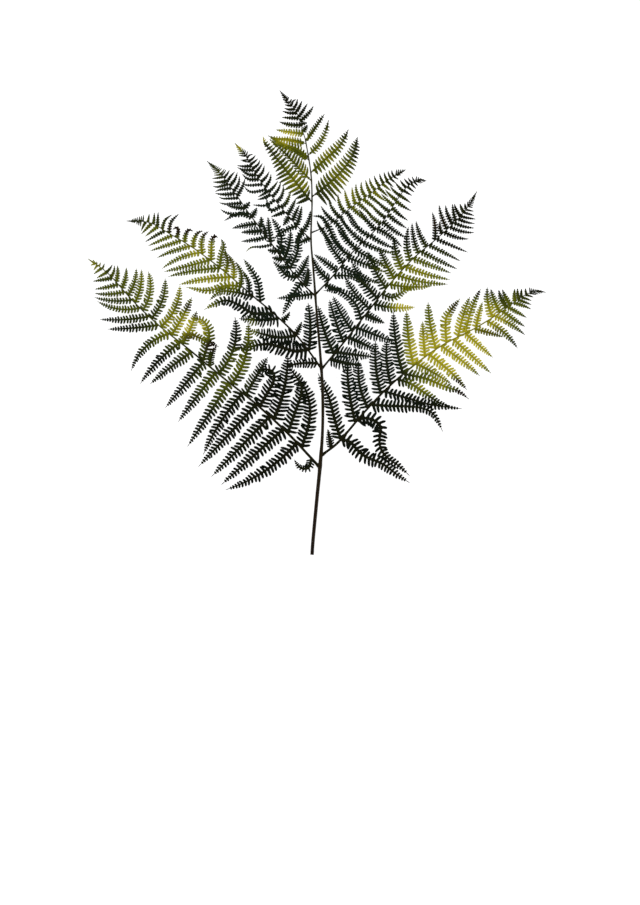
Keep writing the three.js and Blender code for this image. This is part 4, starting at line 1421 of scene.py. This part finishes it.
# %% One costa as a closed skin
COSTA_WIDTH_SHARE = 0.75
COSTA_TIP_HALF_WIDTH = 0.42
COSTA_THICKNESS_SHARE = 0.5
COSTA_LEAST_HALF_THICKNESS = 0.32
COSTA_TIP_LIFT = 0.33
COSTA_SIDES = 12
COSTA_RING_SPACING = 2.5
COSTA_LEAST_RINGS = 12
RING_CROWDING = 1.3
LAST_RING_SHARE = 0.995
CHANNEL_DEPTH = 0.3
CHANNEL_HALF_ANGLE = 0.4
FORK_SWELL = 0.7
FORK_REACH = 3.5
# The root stays inside the stalk: the most of the stalk's radius that it takes up.
ROOT_WIDTH_MOST = 0.98
ROOT_THICKNESS_MOST = 0.9
RIB_BROWNING = 1.1


def costa_half_width(stalk_radius, share):
    """Half width of a costa at a share of its length."""
    return COSTA_WIDTH_SHARE * stalk_radius * (1 - share) + COSTA_TIP_HALF_WIDTH * share


def costa_lift(stalk_radius, share):
    """Height of a costa's axis over the dome."""
    return stalk_radius * (1 - share) + COSTA_TIP_LIFT * share


def rod_faces(rings, sides):
    """Quads round a rod, and triangles that close its first and last ring."""
    numbers = np.arange(rings * sides).reshape(rings, sides)
    turned = np.roll(numbers, -1, axis=1)
    quads = facing([numbers[:-1], numbers[1:], turned[1:], turned[:-1]], False)
    foot, top = rings * sides, rings * sides + 1
    first = [[foot, numbers[0, k], turned[0, k]] for k in range(sides)]
    last = [[top, turned[-1, k], numbers[-1, k]] for k in range(sides)]
    return quads, np.array(first + last)


def costa_skin(skins, costa, stalk_radius):
    """Add the rib of one pinna."""
    rings = max(COSTA_LEAST_RINGS, round(costa.length / COSTA_RING_SPACING))
    shares = np.linspace(0, LAST_RING_SHARE, rings) ** RING_CROWDING
    centres = costa.at(shares)
    sides = left_of(costa.heading(shares))
    swell = 1 + FORK_SWELL * np.exp(-(shares * costa.length / FORK_REACH) ** 2)
    half_width = costa_half_width(stalk_radius, shares) * swell
    half_width = np.minimum(half_width, stalk_radius * ROOT_WIDTH_MOST)
    thickest = max(COSTA_LEAST_HALF_THICKNESS, COSTA_THICKNESS_SHARE * stalk_radius)
    half_thickness = thickest * (1 - shares) + COSTA_LEAST_HALF_THICKNESS * shares
    half_thickness = np.minimum(half_thickness * swell, stalk_radius * ROOT_THICKNESS_MOST)

    angles = np.arange(COSTA_SIDES) * 2 * np.pi / COSTA_SIDES
    channel = 1 - CHANNEL_DEPTH * np.exp(-((angles - np.pi / 2) / CHANNEL_HALF_ANGLE) ** 2)
    plan = centres[:, None] + sides[:, None] * (half_width[:, None] * -np.cos(angles))[..., None]
    axis_height = dome_height(centres) + costa_lift(stalk_radius, shares)
    middle = np.maximum(axis_height, half_thickness + TABLE_CLEARANCE)
    height = middle[:, None] + half_thickness[:, None] * np.sin(angles) * channel
    points = np.concatenate([plan, height[..., None]], axis=-1).reshape(-1, 3)
    ends = costa.at(np.array([0.0, 1.0]))
    points = np.vstack([points, [*ends[0], middle[0]], [*ends[1], middle[-1]]])
    values = {name: np.zeros(len(points)) for name in POINT_VALUES}
    values["yellowing"] = np.clip(patch_value(points[:, :2], YELLOW_PATCHES), 0, 1)
    values["rib"] += RIB_BROWNING
    values["shade"] += 0.5
    skins.add(points, *rod_faces(rings, COSTA_SIDES), values)


print("sides of a costa:", COSTA_SIDES)

# %% [markdown]
# ## Leaf blade
# A fern blade is thin, a little waxy and matt. Dry, ageing bracken is nearly black green in the
# thick inner part, and goes through olive to straw yellow as the green is lost, with the ribs
# turning brown first. The point values carry where that has happened, and where shade is painted:
# a bluish green on the inner leaf round the rachis and a darker root on each lobe. A ramp turns the
# number into colour, and two noises add the mottling of a few millimetres and the fine cell grain.

# %% Bracken leaf material
MOTTLE_MM = 7.0
# The cells of a leaf are about 0.05 mm; the grain is drawn coarser so that it shows.
GRAIN_MM = 0.9
# How far mottling, the shade of a lobe and its vein move the leaf along the stages of yellowing.
MOTTLE_SWING = 0.5
SHADE_SWING = 0.16
VEIN_SHIFT = 0.1
# Up to which stage the bluish green of painted shade shows, and how the brown of the tips sets in.
GREEN_UNTIL = 0.7
SCORCH_GAIN = 1.5
SCORCH_OFFSET = -0.2
# The rib value gives the brown of the ribs and also painted shade at the roots of the lobes.
RIB_AND_ROOT_SHADE_TINT = 0.45
UNDER_TINT = 0.5
PAINTED_SHADE_GREEN = "#12251a"
SCORCHED_BROWN = "#21150d"
RIB_BROWN_AND_ROOT_SHADE = "#262209"
UNDERSIDE_GREEN = "#4c5538"
LEAF_STAGES = [
    (0.00, "#050a05"), (0.20, "#111a09"), (0.42, "#38420b"), (0.66, "#6c730e"),
    (0.86, "#989516"), (1.00, "#c2b82a"),
]


def fill_ramp(ramp, stages):
    """Give a colour ramp its stages, each a position and a hex colour."""
    while len(ramp.elements) < len(stages):
        ramp.elements.new(0.5)
    for element, (position, colour) in zip(ramp.elements, stages):
        element.position = position
        element.color = linear(colour)


def leaf_material(name):
    """Bracken blade, grown rather than made: matt wax over green, going yellow."""
    material = new_material(name)
    tree = material.node_tree
    place = add_node(tree, "ShaderNodeTexCoord").outputs["Object"]
    read = {
        value_name: add_node(tree, "ShaderNodeAttribute", attribute_name=value_name).outputs["Fac"]
        for value_name in POINT_VALUES
    }
    mottle = add_node(tree, "ShaderNodeTexNoise", {
        "Vector": place, "Scale": 1 / (MOTTLE_MM * MM), "Detail": 3.0, "Roughness": 0.6,
    })
    grain = add_node(tree, "ShaderNodeTexNoise", {
        "Vector": place, "Scale": 1 / (GRAIN_MM * MM), "Detail": 2.0,
    })
    mottle_shift = add_node(tree, "ShaderNodeMath", {
        0: mottle.outputs["Fac"], 1: MOTTLE_SWING, 2: -MOTTLE_SWING / 2,
    }, operation="MULTIPLY_ADD")
    shade_shift = add_node(tree, "ShaderNodeMath", {
        0: read["shade"], 1: SHADE_SWING, 2: -SHADE_SWING / 2,
    }, operation="MULTIPLY_ADD")
    turned = add_node(tree, "ShaderNodeMath", {
        0: mottle_shift.outputs[0], 1: read["yellowing"], 2: read["yellowing"],
    }, operation="MULTIPLY_ADD")
    turned = add_node(tree, "ShaderNodeMath", {
        0: turned.outputs[0], 1: shade_shift.outputs[0],
    }, operation="ADD")
    turned = add_node(tree, "ShaderNodeMath", {
        0: read["vein"], 1: VEIN_SHIFT, 2: turned.outputs[0],
    }, operation="MULTIPLY_ADD", use_clamp=True)
    stages = add_node(tree, "ShaderNodeValToRGB", {"Fac": turned.outputs[0]})
    fill_ramp(stages.color_ramp, LEAF_STAGES)

    # Painted shade: a bluish green for deep shade over the inner leaf, faded out as the leaf turns
    # yellow.
    green_left = add_node(tree, "ShaderNodeMath", {
        0: GREEN_UNTIL, 1: turned.outputs[0],
    }, operation="SUBTRACT", use_clamp=True)
    painted_shade_mask = add_node(tree, "ShaderNodeMath", {
        0: read["painted_shade"], 1: green_left.outputs[0],
    }, operation="MULTIPLY")
    scorch_mask = add_node(tree, "ShaderNodeMath", {
        0: read["brown"], 1: SCORCH_GAIN, 2: SCORCH_OFFSET,
    }, operation="MULTIPLY_ADD", use_clamp=True)
    # Brown of the ribs, and painted shade at the roots of the lobes, both from the rib value.
    rib_and_root_shade_mask = add_node(tree, "ShaderNodeMath", {
        0: read["rib"], 1: RIB_AND_ROOT_SHADE_TINT,
    }, operation="MULTIPLY", use_clamp=True)
    under_mask = add_node(tree, "ShaderNodeMath", {
        0: read["under"], 1: UNDER_TINT,
    }, operation="MULTIPLY")
    colour = stages.outputs["Color"]
    for mask, tint in (
        (painted_shade_mask, PAINTED_SHADE_GREEN), (scorch_mask, SCORCHED_BROWN), (rib_and_root_shade_mask, RIB_BROWN_AND_ROOT_SHADE),
        (under_mask, UNDERSIDE_GREEN),
    ):
        tinted = add_node(tree, "ShaderNodeMix", {
            "Factor": mask.outputs[0], "A": colour, "B": linear(tint),
        }, data_type="RGBA")
        colour = tinted.outputs["Result"]

    bump = add_node(tree, "ShaderNodeBump", {
        "Height": grain.outputs["Fac"], "Strength": 0.25, "Distance": 0.0002,
    })
    rough = add_node(tree, "ShaderNodeMapRange", {
        "Value": grain.outputs["Fac"], "To Min": 0.5, "To Max": 0.72,
    })
    shader = add_node(tree, "ShaderNodeBsdfPrincipled", {
        "Base Color": colour, "Roughness": rough.outputs[0],
        "Normal": bump.outputs["Normal"], "IOR": 1.42, "Specular IOR Level": 0.07,
    })
    add_node(tree, "ShaderNodeOutputMaterial", {"Surface": shader.outputs["BSDF"]})
    return material


bracken_leaf = leaf_material("bracken_leaf")
print("leaf material nodes:", len(bracken_leaf.node_tree.nodes))

# %% [markdown]
# ## The pinnae
# Each pinna becomes one piece: its costa and its two rows of pinnules. It rides on the one body,
# and stands for the coarse solid of the same name.

# %% Build the pinnae
# The uncut share of a pinnule's half width, by its length.
WING_FADE_MM = (8, 14, 25, 40)
WING_SHARES = (0.8, 0.5, 0.24, 0.1)
# Short pinnules narrow evenly to a point, long ones keep their width to near the end.
TAPER_FADE_MM = (18, 45)
SHORT_TAPER_POWER = 2.1
MEASURED_TAPER_POWER = 2.6
TONGUE_SHARE = 0.3
TONGUE_MM = 10
TONGUE_POINTS = 40
TONGUE_HALF_WIDTH = 0.13
COMB_WEB_HALF_WIDTH = 0.6
COMB_WING = 0.75
COMB_TAPER_POWER = 3.0
# A short pinnule this wide is still cut into lobes.
BROAD_HALF_WIDTH = 2.4
BROAD_WING = 0.38
BROAD_WEBS = {"left_pinna_between": 2.6, "left_pinna_7": 1.4, "right_pinna_8": 1.3}
# How far a pinnule's uncut base reaches over the costa, as shares of costa and pinnule.
COSTA_COVER = 0.4
BASE_SHARE_MOST = 0.25

for spec in PINNAE:
    skins = Skins()
    costa = smooth_line(spec["costa"])
    stalk_radius = stalk_radius_at(costa.at(0.0))
    costa_skin(skins, rooted(costa), stalk_radius)
    lobe_count = 0
    for row_name in ("lower", "upper"):
        for pinnule in row_pinnules(spec, row_name, costa):
            midline = pinnule["midline"]
            length = midline.length
            at = pinnule["at"]
            covered = COSTA_COVER * costa_half_width(stalk_radius, at)
            wing = np.interp(length, WING_FADE_MM, WING_SHARES)
            short_power = MEASURED_TAPER_POWER if pinnule["by_hand"] else SHORT_TAPER_POWER
            taper_power = np.interp(length, TAPER_FADE_MM, (short_power, WIDTH_TAPER_POWER[row_name]))
            if spec["name"] in COMB_TEETH:
                wing, taper_power = COMB_WING, COMB_TAPER_POWER
            elif pinnule["width"] > BROAD_HALF_WIDTH:
                wing = min(wing, BROAD_WING)
            lobe_count += pinnule_skin(
                skins, midline, pinnule["width"], min(BASE_SHARE_MOST, covered / length),
                costa_lift(stalk_radius, at), ROW_SLOPE[row_name], wing, taper_power,
            )
    tongue = min(TONGUE_MM, TONGUE_SHARE * costa.length)
    end_line = PlanLine(costa.at(np.linspace(1 - tongue / costa.length, 1, TONGUE_POINTS)))
    lobe_count += pinnule_skin(
        skins, end_line, width=TONGUE_HALF_WIDTH * tongue, base_share=0.02, lift=0.4, slope=0,
        wing=0.5, taper_power=WIDTH_TAPER_POWER["end"],
    )
    if spec["name"] in COMB_TEETH:
        web = BROAD_WEBS.get(spec["name"], COMB_WEB_HALF_WIDTH)
        lobe_count += pinnule_skin(
            skins, costa, width=web, base_share=0.04, lift=0.5 * stalk_radius, slope=0,
            wing=0.7, taper_power=WIDTH_TAPER_POWER["lower"],
        )
    pinna = skins.to_object(spec["name"] + "_blade", [bracken_leaf])
    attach(pinna, "root")
    if spec["name"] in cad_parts:
        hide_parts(spec["name"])
    print(pinna.name, "lobes:", lobe_count, "faces:", len(pinna.data.polygons))

# %% [markdown]
# ## Stalk
# The stalk is a tough ridged rod, brownish black at the cut foot and dark olive toward the tip,
# with a channel along its upper side and a slight knee where each pair of pinnae leaves. It is a
# loft like the costae, with more sides so that the ridges show, and its cut foot is a sunken pale
# ring of pith.

# %% Stalk skin
STALK_SIDES = 24
STALK_RING_SPACING = 1.6
# Rings inside the cut foot: share of the radius, and depth behind the cut in millimetres.
FOOT_RINGS = np.array([(0.68, 0.5), (0.74, 0.0)])
RIDGE_COUNT = 7
RIDGE_DEPTH = 0.045
STALK_CHANNEL = 0.16
STALK_CHANNEL_HALF_ANGLE = 0.35
KNEE_SWELL = 0.16
KNEE_REACH = 4.0
# The solid stalk has eight sides and lies on a flat one, this share of its radius below its axis.
STALK_FLAT_SHARE = math.cos(math.pi / 8)

skins = Skins()
outer_rings = round(stalk_line.length / STALK_RING_SPACING)
ring_total = len(FOOT_RINGS) + outer_rings
shares = np.concatenate([np.zeros(len(FOOT_RINGS)), np.linspace(0, 1, outer_rings)])
ring_scale = np.concatenate([FOOT_RINGS[:, 0], np.ones(outer_rings)])
depth = np.concatenate([FOOT_RINGS[:, 1], np.zeros(outer_rings)])
stations = stalk_line.at(shares)
headings = stalk_line.heading(shares)
centres = stations[:, :2] + headings * depth[:, None]
radius = stations[:, 2].copy()
centre_height = dome_height(stations) + radius * STALK_FLAT_SHARE
for spec in LEFT_PINNAE + RIGHT_PINNAE:
    fork = np.array(spec["costa"][0])
    away = np.linalg.norm(stations[:, :2] - fork, axis=1)
    radius = radius * (1 + KNEE_SWELL * np.exp(-(away / KNEE_REACH) ** 2))
angles = np.arange(STALK_SIDES) * 2 * np.pi / STALK_SIDES
ridges = 1 + RIDGE_DEPTH * np.cos(RIDGE_COUNT * angles)
channel = 1 - STALK_CHANNEL * np.exp(-((angles - np.pi / 2) / STALK_CHANNEL_HALF_ANGLE) ** 2)
reach = (radius * ring_scale)[:, None] * ridges * channel
plan = centres[:, None] - left_of(headings)[:, None] * (reach * np.cos(angles))[..., None]
height = np.maximum(centre_height[:, None] + reach * np.sin(angles), TABLE_CLEARANCE)
points = np.concatenate([plan, height[..., None]], axis=-1).reshape(-1, 3)
ends = np.column_stack([centres, centre_height])[[0, -1]]
points = np.vstack([points, ends])
along = np.concatenate([np.repeat(shares, STALK_SIDES), [0, 1]])
# The innermost ring of the cut foot and its centre point are pith.
pith = np.zeros(len(points))
pith[:STALK_SIDES] = 1
pith[-2] = 1
values = {name: np.zeros(len(points)) for name in POINT_VALUES}
values.update(yellowing=along, under=pith)
skins.add(points, *rod_faces(ring_total, STALK_SIDES), values)
print("stalk rings:", ring_total)

# %% [markdown]
# ## Stalk finish
# The rind is hard, smooth and slightly glossy, with fine lengthwise fibres. The colour runs from
# purplish black at the foot through brown to dark olive, so a ramp along the stalk gives it, and
# a noise that is drawn out along the stalk gives the streaks.

# %% Stalk rind material
# Rind fibres are about 0.1 mm wide; they are drawn coarser and drawn out so that the streaks show.
FIBRE_MM = 0.6
FIBRE_STRETCH = 0.08
FIBRE_BROWN = "#4a3a16"
PITH = "#8c7b52"
RIND_STAGES = [
    (0.0, "#120807"), (0.12, "#180c06"), (0.22, "#1b1508"), (0.45, "#171307"),
    (0.75, "#1e1e0a"), (1.0, "#33330f"),
]
rind = new_material("stalk_rind")
tree = rind.node_tree
place = add_node(tree, "ShaderNodeTexCoord").outputs["Object"]
stretched = add_node(tree, "ShaderNodeMapping", {"Vector": place, "Scale": (1, FIBRE_STRETCH, 1)})
fibre = add_node(tree, "ShaderNodeTexNoise", {
    "Vector": stretched.outputs["Vector"], "Scale": 1 / (FIBRE_MM * MM), "Detail": 3.0,
})
along_stalk = add_node(tree, "ShaderNodeAttribute", attribute_name="yellowing").outputs["Fac"]
stages = add_node(tree, "ShaderNodeValToRGB", {"Fac": along_stalk})
fill_ramp(stages.color_ramp, RIND_STAGES)
streak = add_node(tree, "ShaderNodeMapRange", {
    "Value": fibre.outputs["Fac"], "From Min": 0.3, "From Max": 0.7, "To Min": 0.0, "To Max": 0.18,
})
streaked = add_node(tree, "ShaderNodeMix", {
    "Factor": streak.outputs[0], "A": stages.outputs["Color"], "B": linear(FIBRE_BROWN),
}, data_type="RGBA")
pith_mask = add_node(tree, "ShaderNodeAttribute", attribute_name="under").outputs["Fac"]
cut = add_node(tree, "ShaderNodeMix", {
    "Factor": pith_mask, "A": streaked.outputs["Result"], "B": linear(PITH),
}, data_type="RGBA")
fibre_bump = add_node(tree, "ShaderNodeBump", {
    "Height": fibre.outputs["Fac"], "Strength": 0.4, "Distance": 0.0002,
})
rind_shader = add_node(tree, "ShaderNodeBsdfPrincipled", {
    "Base Color": cut.outputs["Result"], "Roughness": 0.42, "IOR": 1.5,
    "Specular IOR Level": 0.12, "Normal": fibre_bump.outputs["Normal"],
})
add_node(tree, "ShaderNodeOutputMaterial", {"Surface": rind_shader.outputs["BSDF"]})

stalk = skins.to_object("stalk_rod", [rind])
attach(stalk, "root")
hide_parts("stalk")
print(stalk.name, "faces:", len(stalk.data.polygons))
